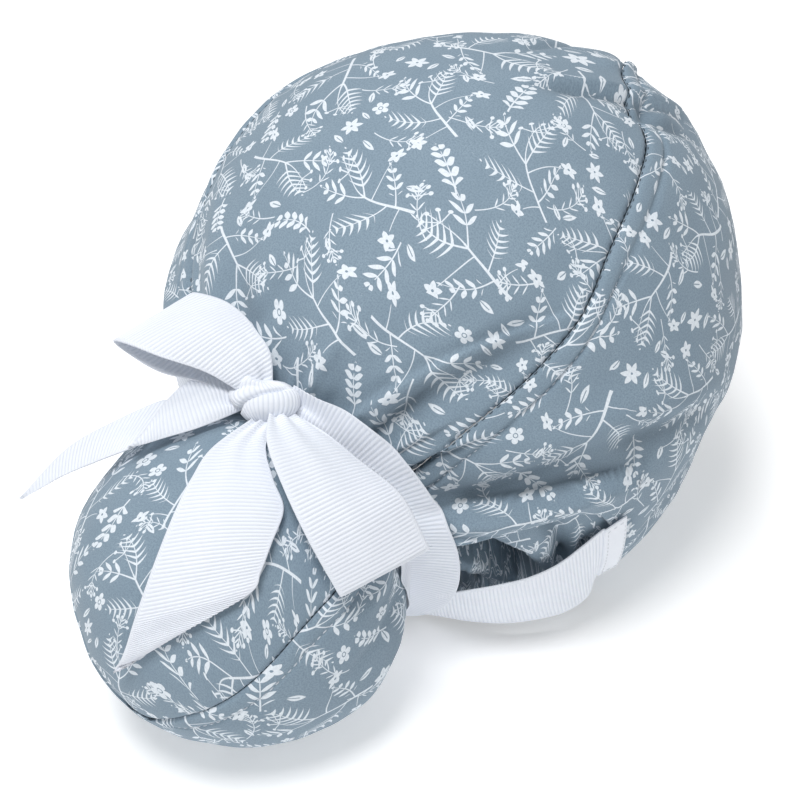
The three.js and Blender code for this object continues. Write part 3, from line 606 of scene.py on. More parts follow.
def sprig(f, place, pitch, seed):
    """A forked twig with fronds, leaves, flowers and berries round it."""
    x, y, (bend, kind, flip) = cells(f, place, pitch, (0.0, 0.0), seed, 1.5)
    lean = f.math("MULTIPLY_ADD", y * y, 0.03, -4.0) * (bend - 0.5)
    x = (x - lean) * f.math("MULTIPLY_ADD", flip > 0.5, 2.0, -1.0)
    parts = [stalk(f, y, x, -18.6, 2, 0.5, 0.28)]
    for branch, leaves, (length, wide) in LEAFY_BRANCHES:
        a, b = turned(f, x, y, *branch)
        parts.append(leaflets(f, a, b, *leaves))
        parts.append(stalk(f, a, b, 0, length, wide, 0.1))
    a, b = turned(f, x, y, 2, -2, 0.02)
    parts.append(f.most(stalk(f, a, b, 0, 10, 0.2, 0.1), berries(f, b, a - 9.6, 4.6)))
    for branch, length, reach, size in FLOWER_BRANCHES:
        a, b = turned(f, x, y, *branch)
        bloom = star(f, b, a - reach, size, 5, 1.0)
        parts.append(f.most(stalk(f, a, b, 0, length, 0.2, 0.1), bloom))
    parts.append(blossom(f, x - 15.4, y - 6.6, 3.1, 5) * (kind > 0.35))
    parts.append(leaf(f, x, y, -13.8, 10.4, 5.6, 1.1))
    parts.append(leaf(f, x, y, -7.2, -14.6, 6.0, 1.1))
    return f.most(*parts)


def filler(f, place, pitch, seed):
    """A small leafy twig, a lobed one or a flower, where four cells meet."""
    x, y, (kind, bend, flip) = cells(f, place, pitch, (pitch / 2, pitch / 2), seed, 1.5)
    x = x - (y * y * 0.05) * (bend - 0.5)
    stem = stalk(f, y, x, -9, 5, 0.28, 0.12)
    slim = leaflets(f, y, x, 3.6, 0.8, 4.0, 0.55, 9.6, -7.0, 0.95)
    lobed = leaflets(f, y, x, 3.2, 0.6, 3.2, 0.8, 9.0, -6.6, 1.25)
    twig = f.most(stem, f.math("MAXIMUM", slim * (flip > 0.5), lobed * (flip < 0.5)))
    bloom = star(f, x, y, 4.1, 6, 1.0)
    loose = f.most(leaf(f, x, y, 6.4, 1.0, 6.0, 1.1), leaf(f, x, y, -6.4, -1.0, 5.0, 0.95))
    choice = kind > 0.4
    return f.most(twig * choice, f.most(bloom, loose) * (1 - choice))


def trail(f, place, pitch, shift, seed):
    """A thin curved stalk with fine buds and berries, between two cells."""
    x, y, (bend, _, _) = cells(f, place, pitch, shift, seed, 3.0)
    x = x - f.math("MULTIPLY_ADD", y * y, 0.09, -2.5) * (bend - 0.5)
    stem = stalk(f, y, x, -9, 4.6, 0.22, 0.12)
    buds = leaflets(f, y, x, 3.0, 1.1, 2.3, 0.5, 9.5, -5.5, 0.36)
    return f.most(stem, buds, berries(f, x, y - 4.2, 3.6))


PRINT_CELL = 38.0  # size of one cell of the print
COTTON_YARN, RIBBON_YARN = 0.42, 0.34  # from one thread to the next


def printed_cotton():
    f = Finish("printed_cotton")
    cloth = f.node("ShaderNodeUVMap", {"uv_map": "print"}).outputs[0]
    sway = f.noise(cloth, 0.022, 1.0).outputs["Color"]
    sway = f.vector("SUBTRACT", sway, (0.5, 0.5, 0.5))
    warped = f.vector("ADD", cloth, f.vector("MULTIPLY", sway, (13, 13, 0)))
    half = PRINT_CELL / 2
    white = f.most(sprig(f, warped, PRINT_CELL, 3.0), filler(f, warped, PRINT_CELL, 11.0),
                   trail(f, warped, PRINT_CELL, (half, 0.0), 5.0),
                   trail(f, warped, PRINT_CELL, (0.0, half), 8.0))
    worn = Value(f, f.noise(cloth, 1.1, 3.0, 0.6).outputs[0])
    mottle = Value(f, f.noise(cloth, 0.05, 3.0, 0.55).outputs[0])
    grain = Value(f, f.noise(cloth, 1.7, 2.0, 0.7).outputs[0])
    ground = f.blend(mottle, (0.215, 0.292, 0.362, 1), (0.275, 0.36, 0.432, 1))
    ground = f.blend(f.math("MULTIPLY_ADD", grain, 3.2, -1.25, clamp=True), ground,
                     (0.185, 0.25, 0.315, 1))
    ink = f.blend(mottle, (0.74, 0.80, 0.86, 1), (0.81, 0.86, 0.91, 1))
    cover = white * f.math("MULTIPLY_ADD", worn, -0.6, 1.24, clamp=True)
    colour = f.blend(cover, ground, ink)
    # Painted shade: the colour goes towards a near-black blue where the cloth lies down in a fold.
    depth, _, _ = f.split(f.node("ShaderNodeUVMap", {"uv_map": "depth"}).outputs[0])
    colour = f.blend(depth * 0.72, colour, (0.045, 0.065, 0.085, 1))
    f.join(f.shader.inputs["Base Color"], colour)
    u, v, _ = f.split(cloth)
    yarns = 2 * math.pi / COTTON_YARN
    weave = f.math("SINE", u * yarns) * f.math("SINE", v * yarns)
    height = f.math("MULTIPLY_ADD", weave, 0.25, grain)
    bump = f.node("ShaderNodeBump", None, Strength=0.22, Distance=0.0002, Height=height)
    f.join(f.shader.inputs["Normal"], bump.outputs[0])
    f.shader.inputs["Roughness"].default_value = 0.86
    f.shader.inputs["Sheen Weight"].default_value = 0.12
    f.shader.inputs["Sheen Roughness"].default_value = 0.5
    f.shader.inputs["Specular IOR Level"].default_value = 0.25
    print("printed cotton:", len(f.tree.nodes), "nodes")
    return f.material


COTTON = printed_cotton()

# %% [markdown]
# Grosgrain is a ribbon with thick crosswise ribs and a flat woven edge. The ribs are modelled,
# and the finish adds the threads over them and painted shade in the grooves between them.

# %% Grosgrain and thread
def white_grosgrain():
    f = Finish("white_grosgrain")
    cloth = f.node("ShaderNodeUVMap", {"uv_map": "print"}).outputs[0]
    u, v, _ = f.split(cloth)
    edge = f.edge(abs(u) - (RIBBON_WIDTH / 2 - 1.5), 0.3)
    rib = f.math("COSINE", v * (2 * math.pi / RIB))
    # Painted shade in the grooves between the ribs, and the woven chevrons along each edge, darken the
    # colour.
    groove = f.math("MULTIPLY_ADD", rib, -0.5, 0.5, clamp=True)
    groove = f.math("POWER", groove, 3.0) * (1 - edge)
    chevron = f.math("PINGPONG", f.math("MULTIPLY_ADD", abs(u), 0.9, v), 0.45)
    groove_shade_and_chevron = f.math("MAXIMUM", groove * 0.8, edge * (0.45 - chevron) * 1.2)
    soft = Value(f, f.noise(cloth, 0.08, 2.0).outputs[0])
    base = f.blend(soft, (0.77, 0.80, 0.865, 1), (0.83, 0.86, 0.915, 1))
    colour = f.blend(f.math("MULTIPLY", groove_shade_and_chevron, 1.0, clamp=True), base, (0.62, 0.66, 0.74, 1))
    f.join(f.shader.inputs["Base Color"], colour)
    thread = f.math("SINE", u * (2 * math.pi / RIBBON_YARN))
    fine = f.math("MULTIPLY_ADD", thread, 0.5, rib * 0.3)
    bump = f.node("ShaderNodeBump", None, Strength=0.25, Distance=0.0002, Height=fine)
    f.join(f.shader.inputs["Normal"], bump.outputs[0])
    f.shader.inputs["Roughness"].default_value = 0.62
    # A little light of its own stands for what shines through the thin weave
    f.shader.inputs["Emission Color"].default_value = (0.93, 0.96, 1.0, 1)
    f.shader.inputs["Emission Strength"].default_value = 0.06
    f.shader.inputs["Sheen Weight"].default_value = 0.15
    f.shader.inputs["Specular IOR Level"].default_value = 0.35
    return f.material


def plain_thread(name, colour):
    f = Finish(name)
    places = f.node("ShaderNodeTexCoord").outputs["Object"]
    twist = Value(f, f.node("ShaderNodeTexNoise", None, Vector=places, Scale=900.0).outputs[0])
    dark = tuple(0.72 * c for c in colour[:3]) + (1,)
    f.join(f.shader.inputs["Base Color"], f.blend(twist, dark, colour))
    f.shader.inputs["Roughness"].default_value = 0.6
    return f.material


GROSGRAIN = white_grosgrain()
# Near-black stitches for the crown's seam: painted shadow where its puckers lie in shade.
SEAM_SHADOW_THREAD = plain_thread("seam_shadow_thread", (0.06, 0.085, 0.11, 1))
BLUE_THREAD = plain_thread("blue_thread", (0.66, 0.72, 0.79, 1))
WHITE_THREAD = plain_thread("white_thread", (0.82, 0.85, 0.9, 1))

# %% [markdown]
# ## The crown panel
# One strip of cotton runs from the neck over the top to the forehead. Its edges turn down into
# the seam with the side band, so the surface dips over its last two millimetres. A grid that
# is closer near its edges shows that dip without many faces elsewhere.

# %% Crown panel
def seam_phi(theta):
    return curve_at(CROWN_SEAM, theta, 1)


def closer_at_ends(count, amount=0.75):
    t = np.linspace(0, 1, count)
    return t - amount * np.sin(2 * math.pi * t) / (2 * math.pi)


def crown_map(u):
    side = np.arcsin(np.clip(u @ RIGHT, -1, 1))
    along = np.arctan2(u[..., 0], u[..., 2])
    return np.stack([CROWN_ARC * side + 700, CROWN_ARC * along * (0.55 + 0.45 * np.cos(side))], -1)


def crown_panel():
    theta = mix(NECK_OPENING, FRONT_THETA, np.linspace(0, 1, 205))[:, None]
    s = closer_at_ends(128)[None, :]
    phi = mix(seam_phi(theta), -seam_phi(theta), s)
    to_side = (seam_phi(theta) - np.abs(phi)) * np.sin(np.radians(theta))
    to_side = to_side * math.pi / 180 * CROWN_ARC
    to_front = (FRONT_THETA - theta) * math.pi / 180 * CROWN_ARC
    near = soft_min(to_side, to_front + 0 * phi, 0.5)
    along = theta * math.pi / 180 * CROWN_ARC
    pull = 1 + 0.35 * np.sin(along * 2 * math.pi / 3.1) + 0 * phi
    lift = -1.25 * pull * np.exp(-(np.maximum(near, 0) / 1.5) ** 1.5)
    lift = lift - 0.5 * np.exp(-np.maximum(near, 0) / 6)
    u = neck_direction(theta + 0 * phi, phi)
    places = crown_point(u, lift, cloth=True)
    # depth: painted shade in the crown panel's folds
    return make_sheet("crown_cloth", places, crown_map(u), COTTON_THICK,
                      places - CROWN_CENTRE, COTTON, depth=fold_shade(u))


crown_cloth = crown_panel()

# %% [markdown]
# ## The side band
# The band goes round below the seam, from one side of the nape over the forehead to the other.
# It is topstitched eight millimetres from the seam, which presses a shallow channel, and
# its rear edge is folded under where it rises over the nape.

# %% Side band
SIDE_COLUMNS = 178
FRONT_COLUMNS = 34
FRONT_PHI = CROWN_SEAM[-1][1]
TOPSTITCH = 8.0  # below the seam
SEAM_SHADOW_LINE = 0.35  # the same for the near-black stitches that paint the seam's shadow
THREAD_FROM = 33  # theta where the topstitch comes out from under the ribbon


def seam_stations():
    theta = mix(NECK_OPENING, FRONT_THETA, np.linspace(0, 1, SIDE_COLUMNS))
    right = np.stack([theta, seam_phi(theta)], -1)
    front = np.linspace(FRONT_PHI, -FRONT_PHI, FRONT_COLUMNS)[1:-1]
    middle = np.stack([np.full(len(front), FRONT_THETA), front], -1)
    left = right[::-1] * np.array([1.0, -1.0])
    return np.concatenate([right, middle, left])


def hem_directions(stations):
    theta, phi = stations[:, 0], stations[:, 1]
    back = curve_at(BAND_HEM, theta, 1)
    height = np.maximum(0, curve_at(BAND_HEM, theta, 2))
    over_front = mix(BAND_HEM[-1][1], 180.0, 1 - np.abs(phi) / FRONT_PHI)
    back = np.where(theta > FRONT_THETA - 0.1, over_front, back)
    d = crown_direction(back, np.where(height < 2, 0, height))
    d[:, 1] *= np.where(phi < 0, -1, 1)
    return d


def band_map(u):
    side = np.where(u[..., 1] <= 0, 1.0, -1.0)
    across = np.clip(-u[..., 1] * side, -1, 1)
    from_middle = np.arccos(across)
    size = np.where(from_middle < 1e-4, 1.0, from_middle / np.maximum(np.sin(from_middle), 1e-4))
    round_it = np.arctan2(u[..., 0], across)
    up = np.arcsin(np.clip(u[..., 2], -1, 1))
    w = smooth(25, 75, np.degrees(round_it))
    a = mix(u[..., 0] * size, round_it, w)
    b = mix(u[..., 2] * size, up, w)
    return np.stack([CROWN_ARC * side * (a - math.pi / 2), CROWN_ARC * b], -1)


def seam_to_hem(stations):
    """Direction of the seam and of the hem at each station, and the angle between."""
    top = neck_direction(stations[:, 0], stations[:, 1])[:, None, :]
    bottom = hem_directions(stations)[:, None, :]
    return top, bottom, np.arccos(np.clip((top * bottom).sum(-1), -1, 1))


def band_places(stations, t):
    """Places of the band at each station and share of the way down to its lower edge."""
    top, bottom, angle = seam_to_hem(stations)
    down = angle * CROWN_ARC * t
    up = angle * CROWN_ARC * (1 - t)
    shape = down.shape + (3,)
    u = slerp(np.broadcast_to(top, shape), np.broadcast_to(bottom, shape),
              (t + 0 * down)[..., None])
    lift = -1.1 * np.exp(-(down / 0.9) ** 2) + 0.45 * np.exp(-((down - 3.8) / 3.0) ** 2)
    lift = lift - 1.5 * np.exp(-((down - TOPSTITCH) / 0.9) ** 2)
    high = curve_at(BAND_HEM, stations[:, 0], 2)[:, None] > 2
    lift = lift - np.where(high, 1.6 * np.exp(-(up / 1.3) ** 2), 0)
    return crown_point(u, lift, cloth=True), u, down


def side_band():
    stations = seam_stations()
    t = np.concatenate([np.linspace(0, 0.14, 22)[:-1], np.linspace(0.14, 0.9, 32)[:-1],
                        np.linspace(0.9, 1, 9)])[None, :]
    places, u, down = band_places(stations, t)
    steps = np.linalg.norm(np.diff(places, axis=1), axis=-1)
    length = np.concatenate([0 * steps[:, :1], np.cumsum(steps, axis=1)], axis=1)
    print_map = band_map(u)
    print_map[..., 1] -= length - down
    # depth: painted shade in the band's folds
    return make_sheet("band_cloth", places, print_map, COTTON_THICK, places - CROWN_CENTRE,
                      COTTON, depth=fold_shade(u))


band_cloth = side_band()

# %% [markdown]
# ## The nape casing
# Between the band's rear ends the cloth is gathered on elastic, and its ruffles, a rolled fold
# and a loose flap show under the band's edge. One fine height field over the nape holds them
# all: how deep the cloth lies behind the ball's surface at each place.

# %% Nape casing
CASING_END = 69.0
RUFFLES = 21
BACK_STEP = 1.72  # millimetres to a degree round from the back
# Folds of the casing on the right, back and height of two ends, depth of the crest, half width
NAPE_ROLLS = [
    (31.0, 51.5, 38.6, 44.6, 2.4, 3.8), (38.6, 44.6, 46.8, 34.0, 2.6, 3.8),
    (36.3, 38.0, 37.6, 22.0, 5.2, 4.2), (31.2, 37.0, 32.4, 22.0, 4.6, 2.7),
    (42.4, 29.0, 44.6, 18.0, 7.5, 3.0),
]
# Pockets of the flap: depth; back and its half size; height and its half size
NAPE_POCKETS = [(4.0, 57.6, 2.2, 44.5, 3.0), (9.0, 62.4, 1.6, 47, 4.0)]


def nape_depth(back, height):
    """How far the casing lies behind the ball: gathers, rolls, the flap and dark hollows."""
    gathers = 2.0 * np.sin(back * 1.9 + 0.05 * height) + 0.9 * np.sin(back * 4.3 + 1.2)
    base = 25.0 - 6 * smooth(52, 44, back)
    deep = base + gathers
    for back1, height1, back2, height2, crest, wide in NAPE_ROLLS:
        ax, ay = back1 * BACK_STEP, height1
        bx, by = back2 * BACK_STEP, height2
        px, py = back * BACK_STEP, height
        t = np.clip(((px - ax) * (bx - ax) + (py - ay) * (by - ay))
                    / ((bx - ax) ** 2 + (by - ay) ** 2), 0, 1)
        away = np.hypot(px - mix(ax, bx, t), py - mix(ay, by, t))
        rise = np.sqrt(np.clip(1 - (away / wide) ** 2, 0, 1))
        roll = crest + 3.4 * (1 - rise) + (base - crest) * smooth(0.97, 1.05, away / wide)
        deep = np.minimum(deep, roll + 0.15 * gathers)
    # The flap lies right of a line from the band's edge down to the strap
    line = np.interp(height, [37.5, 54, 60.5, 66.6], [54, 48.3, 43.8, 39.6])
    line = (back - line) * BACK_STEP
    valley = np.interp(height, [45, 59, 71], [57.8, 55.9, 52.8])
    flap = 1.8 + 3.6 * np.exp(-((back - valley) * BACK_STEP / 3.4) ** 2)
    flap = flap + 0.7 * np.sin((back - 54) * 0.42 + (height - 60) * 0.13)
    flap = flap - 1.8 * np.exp(-((back - 59.4) * BACK_STEP / 1.4) ** 2)
    for depth, at, half, at_height, half_height in NAPE_POCKETS:
        flap = flap + depth * np.exp(-((back - at) * BACK_STEP / half) ** 2
                                     - ((height - at_height) / half_height) ** 2)
    flap = flap + 0.9 * (1 - smooth(0, 3, line))
    return mix(deep, np.maximum(flap, 1.3), smooth(-0.8, 0.2, line))


def casing_columns(w):
    """Top and bottom direction of each column, which side it is on, and its inset."""
    sign = np.where(w < 0.5, 1.0, -1.0)
    half = 1 - np.abs(2 * w - 1)
    t = np.clip(half / 0.5, 0, 1)
    back = mix(CASING_END, 34.0, t)
    hem = curve_at([row for row in BAND_HEM if 30 < row[1] < 72], back, 2, key=1)
    first = crown_direction(back, hem + mix(5.0, 1.0, smooth(0.85, 1, t)))
    t2 = np.clip((half - 0.5) / 0.5, 0, 1)
    second = neck_direction(mix(31.0, NECK_OPENING + 0.6, smooth(0, 0.25, t2)),
                            mix(96.0, 180.0, t2))
    on_hem = (half < 0.5)[..., None]
    bottom = np.where(half < 0.5, mix(CASING_END + 2, 33.0, t), mix(33.0, 0.0, t2))
    inset = np.where(half < 0.5, 2.6, mix(2.6, 1.2, smooth(0, 0.3, t2)))
    return np.where(on_hem, first, second), bottom, sign, inset


def nape_casing():
    w = np.linspace(0, 1, 410)
    v = np.linspace(0, 1, 98)[None, :]
    top, bottom_back, sign, inset = casing_columns(w)
    bottom = crown_direction(bottom_back, np.full(len(w), 5.0))
    shape = (len(w), v.shape[1], 3)
    u = slerp(np.broadcast_to(top[:, None], shape), np.broadcast_to(bottom[:, None], shape),
              (v + 0 * w[:, None])[..., None])
    back = np.degrees(np.arctan2(-u[..., 1], -u[..., 0]))
    height = crown_point(u)[..., 2]
    ruffle = np.cos(w * 2 * math.pi * RUFFLES)[:, None]
    plain = inset[:, None] + 2.4 * np.sin(math.pi * np.minimum(1, v * 1.15)) * (1 + ruffle)
    shown = smooth(24, 33, back) * (1 - smooth(0.72, 1.0, v))
    shown = shown * smooth(0, 0.06, v)
    deep = mix(plain, nape_depth(back, height), shown)
    places = crown_point(u, -deep)
    places[..., 1] *= sign[:, None]
    steps = np.linalg.norm(np.diff(places, axis=1, prepend=places[:, :1]), axis=-1)
    print_map = np.stack([w[:, None] * 420 + 1500 + 0 * v, np.cumsum(steps, 1)], -1)
    return make_sheet("nape_cloth", places, print_map, CASING_THICK, places - CROWN_CENTRE,
                      COTTON)


nape_cloth = nape_casing()

# %% [markdown]
# ## The pouch
# Two panels: one over the top and the far end, and one that goes round the sides and beneath.
# Both follow the curve of one seam, so their edges meet, and both dip into it.

# %% Pouch panels
POUCH_ROWS = 132
POUCH_TOPSTITCH = 7.0  # below the seam


def pouch_stations(count):
    return curve_along(POUCH_SEAM, np.linspace(0, len(POUCH_SEAM) - 1, count))


def pouch_top():
    stations = pouch_stations(POUCH_ROWS)
    across = 1 - 2 * closer_at_ends(88)[None, :]
    opening = math.radians(POUCH_OPENING)
    at_neck = np.radians(SEAM_AT_NECK * across)
    neck_along = np.degrees(np.arctan2(math.sin(opening) * np.cos(at_neck), math.cos(opening)))
    first, last = POUCH_SEAM[0][0], POUCH_SEAM[-1][0]
    share = ((stations[:, 0] - first) / (last - first))[:, None]
    along = mix(neck_along, last, share)
    start = np.degrees(np.arcsin(math.sin(opening) * np.sin(at_neck)))
    blend = 1 - smooth(0, 2 / 17, np.linspace(0, 1, POUCH_ROWS))[:, None]
    side = mix(stations[:, 1:2] * across, start, blend)
    near = (1 - np.abs(across)) * stations[:, 1:2] * math.pi / 180 * POUCH_ARC
    pull = 1 + 0.3 * np.sin(np.arange(POUCH_ROWS)[:, None] * 2.3)
    lift = -1.1 * pull * np.exp(-(near / 1.5) ** 1.5) - 0.4 * np.exp(-near / 5)
    u = pouch_direction(along, side)
    places = pouch_point(u, lift, cloth=True)
    print_map = np.stack([np.radians(side) * POUCH_PRINT_ARC + 2300, np.radians(along)
                          * POUCH_PRINT_ARC * np.cos(np.radians(side) * 0.8)], -1)
    return make_sheet("pouch_top_cloth", places, print_map, COTTON_THICK,
                      places - POUCH_CENTRE, COTTON)


def pouch_side_places(count, s):
    stations = pouch_stations(count)
    d = pouch_direction(stations[:, 0], stations[:, 1])
    theta, phi = neck_angles(d)
    phi = phi[:, None]
    turn = mix(phi, 360 - phi, s)
    u = neck_direction(theta[:, None] + 0 * turn, turn)
    across = np.sin(np.radians(theta))[:, None] * math.pi / 180 * POUCH_ARC
    near = np.minimum(turn - phi, 360 - phi - turn) * across
    lift = -0.9 * np.exp(-(near / 0.9) ** 2) + 0.35 * np.exp(-((near - 3.5) / 2.8) ** 2)
    lift = lift - 0.5 * np.exp(-((near - POUCH_TOPSTITCH) / 0.9) ** 2)
    return pouch_point(u, lift, cloth=True), u, near


def pouch_side():
    s = closer_at_ends(176, 0.8)[None, :]
    places, u, _ = pouch_side_places(120, s)
    up = np.arcsin(np.clip(u[..., 2], -1, 1))
    around = np.arctan2(-u[..., 1], -u[..., 0])
    print_map = np.stack([around * POUCH_PRINT_ARC * 0.85 + 3000, up * POUCH_PRINT_ARC], -1)
    return make_sheet("pouch_side_cloth", places, print_map, COTTON_THICK,
                      places - POUCH_CENTRE, COTTON)


pouch_top_cloth = pouch_top()
pouch_side_cloth = pouch_side()

# %% [markdown]
# ## Ribbon
# Every ribbon is a strip through a table of its two edges. It is measured along its middle
# first, and divided into five rows for each rib, so that the ribs stay evenly spaced however
# the ribbon turns. Near the knot the full width is pinched into a few lengthwise folds.

# %% A strip of grosgrain
RIB_ROWS = 5
ACROSS = np.array([0, 0.5, 1.1, 1.7, 2.6, 4.6, 6.6, 8.6, 10.6, 12.6, 14.6, 16.6, 18.2, 19.8,
                   21.4, 23.4, 25.4, 27.4, 29.4, 31.4, 33.4, 35.4, 36.3, 36.9, 37.5, 38]) / 38


def run_along(path):
    """How far each place of a path lies from its start, along it."""
    return np.concatenate([[0], np.cumsum(np.linalg.norm(np.diff(path, axis=0), axis=-1))])


def ribbed_strip(name, strip, last, outward, smooth_to=None, cut_from=None):
    """strip(at, s) gives places for row numbers and shares of the width.

    It has no ribs up to the row smooth_to, and is cut off slantwise from the row cut_from."""
    at = np.linspace(0, last, 500)
    run = run_along(strip(at, np.array([0.5]))[:, 0])
    count = int(round(run[-1] / RIB)) * RIB_ROWS + 1
    along = np.linspace(0, run[-1], count)
    places = strip(np.interp(along, run, at), ACROSS)
    normal = grid_normals(places)
    if (normal * outward(places)).sum(-1).mean() < 0:
        normal = -normal
    share = ACROSS[None, :] + 0 * along[:, None]
    if cut_from is not None:
        row = np.interp(along, run, at)
        wide = np.linalg.norm(places[:, -1] - places[:, 0], axis=-1)
        full = wide[row <= cut_from][-1]
        share = share * np.where(row > cut_from, np.minimum(wide / full, 1), 1)[:, None]
    shown = smooth(0.6, 2.0, np.minimum(share, 1 - share) * RIBBON_WIDTH)
    length = along
    if smooth_to is not None:
        end = np.interp(smooth_to, at, run)
        length = np.maximum(along - end, 0)
        shown = shown * (along > end)[:, None]
    wave = np.cos(length * 2 * math.pi / RIB)[:, None]
    places = places + normal * (0.15 * wave * shown)[..., None]
    places[..., 2] = np.maximum(places[..., 2], 0.3)
    print_map = np.stack([(share - 0.5) * RIBBON_WIDTH, length[:, None] + 0 * share], -1)
    piece = make_sheet(name, places, print_map, RIBBON_THICK, outward(places), GROSGRAIN)
    print(name, round(run[-1]), "mm long")
    return piece, run[-1]


# %% [markdown]
# ## Straps at the nape
# Each strap is sewn to the band's end, goes down over the casing and along the nape, and its
# other end is under the ribbon at the neck. The sewn end is folded under and box-stitched.

# %% Ribbon straps
# back1, height1, off1, back2, height2, off2 of its two edges
STRAP = [
    (69.1, 63.4, 0.5, 73.7, 27.6, 0.8), (64.2, 60.5, 0.6, 69.0, 25.2, 0.7),
    (59.9, 55.5, 1.0, 65.8, 19.4, 6.7), (54.8, 50.2, 2.2, 60.6, 14.4, 9.0),
    (49.1, 47.3, 3.2, 54.7, 12.2, 8.4), (43.2, 45.7, 3.5, 47.2, 11.0, 7.1),
    (37.1, 42.9, 3.0, 39.3, 9.2, 4.4), (30.9, 38.9, 2.0, 30.6, 6.8, 1.4),
    (27.1, 34.5, 0.8, 23.3, 3.4, 0.3),
]


def strap_strip(sign):
    def strip(at, s):
        back1, height1, off1, back2, height2, off2 = curve_along(STRAP, at).T
        shape = (len(at), len(s), 3)
        top = np.broadcast_to(crown_direction(back1, height1)[:, None], shape)
        bottom = np.broadcast_to(crown_direction(back2, height2)[:, None], shape)
        share = np.broadcast_to(s[None, :], shape[:2])
        fold = 0.7 * (1 - smooth(0.94, 1.0, at))[:, None]
        p = crown_point(slerp(top, bottom, share[..., None]), 1.0 + fold)
        off = mix(off1[:, None], off2[:, None], s ** 2)
        level = np.hypot(p[..., 0], p[..., 1])
        p[..., :2] *= (1 + off / level)[..., None]
        p[..., 1] *= sign
        return p
    return strip


def from_crown(places):
    return places - CROWN_CENTRE


strap_right, strap_length = ribbed_strip("strap_ribbon_right", strap_strip(1),
                                         len(STRAP) - 1, from_crown, 0.97)
strap_left, _ = ribbed_strip("strap_ribbon_left", strap_strip(-1),
                             len(STRAP) - 1, from_crown, 0.97)

# %% [markdown]
# ## The ribbon round the neck
# The ribbon is pulled tight in the groove between the crown and the pouch, so it curls over
# both. Five places across its width give that curl, and it narrows towards the knot.

# %% Neck wrap
WRAP_ROWS = 42


def wrap_strip(at, s):
    phi = mix(5.0, 355.0, at / WRAP_ROWS)
    near = 1 - smooth(9, 34, np.minimum(phi, 360 - phi))
    edge = mix(34.6, 33.0, near)
    round_it = neck_direction(np.full(len(phi), 90.0), phi)
    bottom = CROWN_CENTRE + NECK_AXIS * 95.5 + round_it * 46.6
    rows = [
        crown_point(neck_direction(edge, phi), 3.5),
        crown_point(neck_direction(np.full(len(phi), 29.4), phi), 2.6),
        bottom,
        pouch_point(neck_direction(np.full(len(phi), 126.0), phi), 1.8),
        pouch_point(neck_direction(np.full(len(phi), 118.0), phi), 1.8),
    ]
    middle = CROWN_CENTRE + NECK_AXIS * 94 + round_it * 53
    for k, pinch in enumerate((0.25, 0.45, 0.6, 0.8, 0.85)):
        narrow = middle + NECK_AXIS * (k - 2) * 3
        rows[k] = mix(rows[k], narrow, pinch * near[:, None])
    table = np.stack(rows)
    flat = curve_along(table.reshape(5, -1), s * 4).reshape(len(s), len(phi), 3)
    places = np.swapaxes(flat, 0, 1)
    crease = 0.5 * np.sin(s * 2 * math.pi * 3 + 0.5)[None, :] * (0.3 + near[:, None])
    return places + round_it[:, None, :] * crease[..., None]


def from_neck(places):
    off = places - (CROWN_CENTRE + NECK_AXIS * 95)
    return off - (off @ NECK_AXIS)[..., None] * NECK_AXIS


neck_ribbon, wrap_length = ribbed_strip("neck_ribbon", wrap_strip, WRAP_ROWS, from_neck)

# %% [markdown]
# ## The bow
# Two loops, two tails and a knot. Each loop goes out from the knot, folds back on itself and
# comes in again beneath. The tables give both edges of the ribbon and how its middle bulges.

# %% Bow tables
# x1, y1, z1, x2, y2, z2, bulge
LOOP_LEFT = [
    (-104.9, 0.2, 114.5, -108.9, 5.4, 113.0, 0), (-98.5, 5.1, 125.5, -114.0, 10.6, 121.0, 1.4),
    (-95.7, 13.0, 130.5, -117.4, 18.0, 125.5, 2.2), (-93.2, 21.6, 133.0, -124.3, 29.4, 130.5, 2.4),
    (-92.5, 30.6, 134.0, -127.6, 41.1, 133.0, 1.4), (-93.5, 42.0, 132.6, -127.2, 47.7, 131.0, 0),
    (-92.3, 41.6, 128.3, -125.2, 45.2, 126.4, -0.6), (-93.7, 32.0, 125.0, -122.0, 33.5, 121.0, -1.2),
    (-97.1, 23.5, 120.5, -115.4, 22.0, 117.5, -0.8), (-106.1, 8.4, 114.0, -110.2, 10.2, 112.5, 0),
]
LOOP_RIGHT = [
    (-107.5, -1.0, 113.0, -103.2, -4.9, 110.8, 0),
    (-126.0, -14.6, 117.5, -105.2, -22.2, 110.0, 1.6),
    (-136.8, -30.4, 112.5, -104.6, -37.8, 104.5, 2.4),
    (-142.3, -44.4, 101.4, -105.3, -52.3, 99.5, 2.2),
    (-142.7, -54.0, 88.4, -106.4, -62.1, 86.6, 0.8),
    (-141.6, -55.2, 84.2, -105.4, -63.4, 82.2, 0),
    (-139.5, -52.1, 84.4, -103.7, -60.2, 82.4, 0.4),
    (-138.4, -42.1, 97.4, -102.2, -49.9, 94.6, 1.2),
    (-132.8, -28.9, 108.0, -102.2, -36.2, 100.4, 1.4),
    (-121.5, -14.7, 112.8, -104.2, -21.4, 108.4, 0.8),
    (-106.0, -0.4, 110.5, -102.9, -3.3, 108.6, 0),
]
TAIL_LEFT = [
    (-105.0, 9.3, 114.5, -112.3, 6.0, 112.5, 0), (-111.3, 22.5, 117.5, -120.7, 8.2, 112.8, 1.8),
    (-118.7, 27.0, 116.0, -128.9, 13.1, 111.4, 2.0), (-128.6, 27.6, 113.5, -136.4, 19.6, 109.6, 1.4),
    (-139.4, 26.2, 110.5, -141.6, 23.6, 108.6, 0.5), (-145.5, 27.0, 108.4, -145.7, 27.3, 107.8, 0),
    (-119.8, 32.8, 108.2, -141.5, 29.2, 104.6, 0), (-135.9, 45.3, 102.8, -149.2, 39.5, 98.5, 0.8),
    (-148.9, 54.1, 95.8, -156.0, 49.3, 92.0, 0.4), (-167.5, 58.0, 86.2, -166.6, 57.6, 85.4, 0),
]
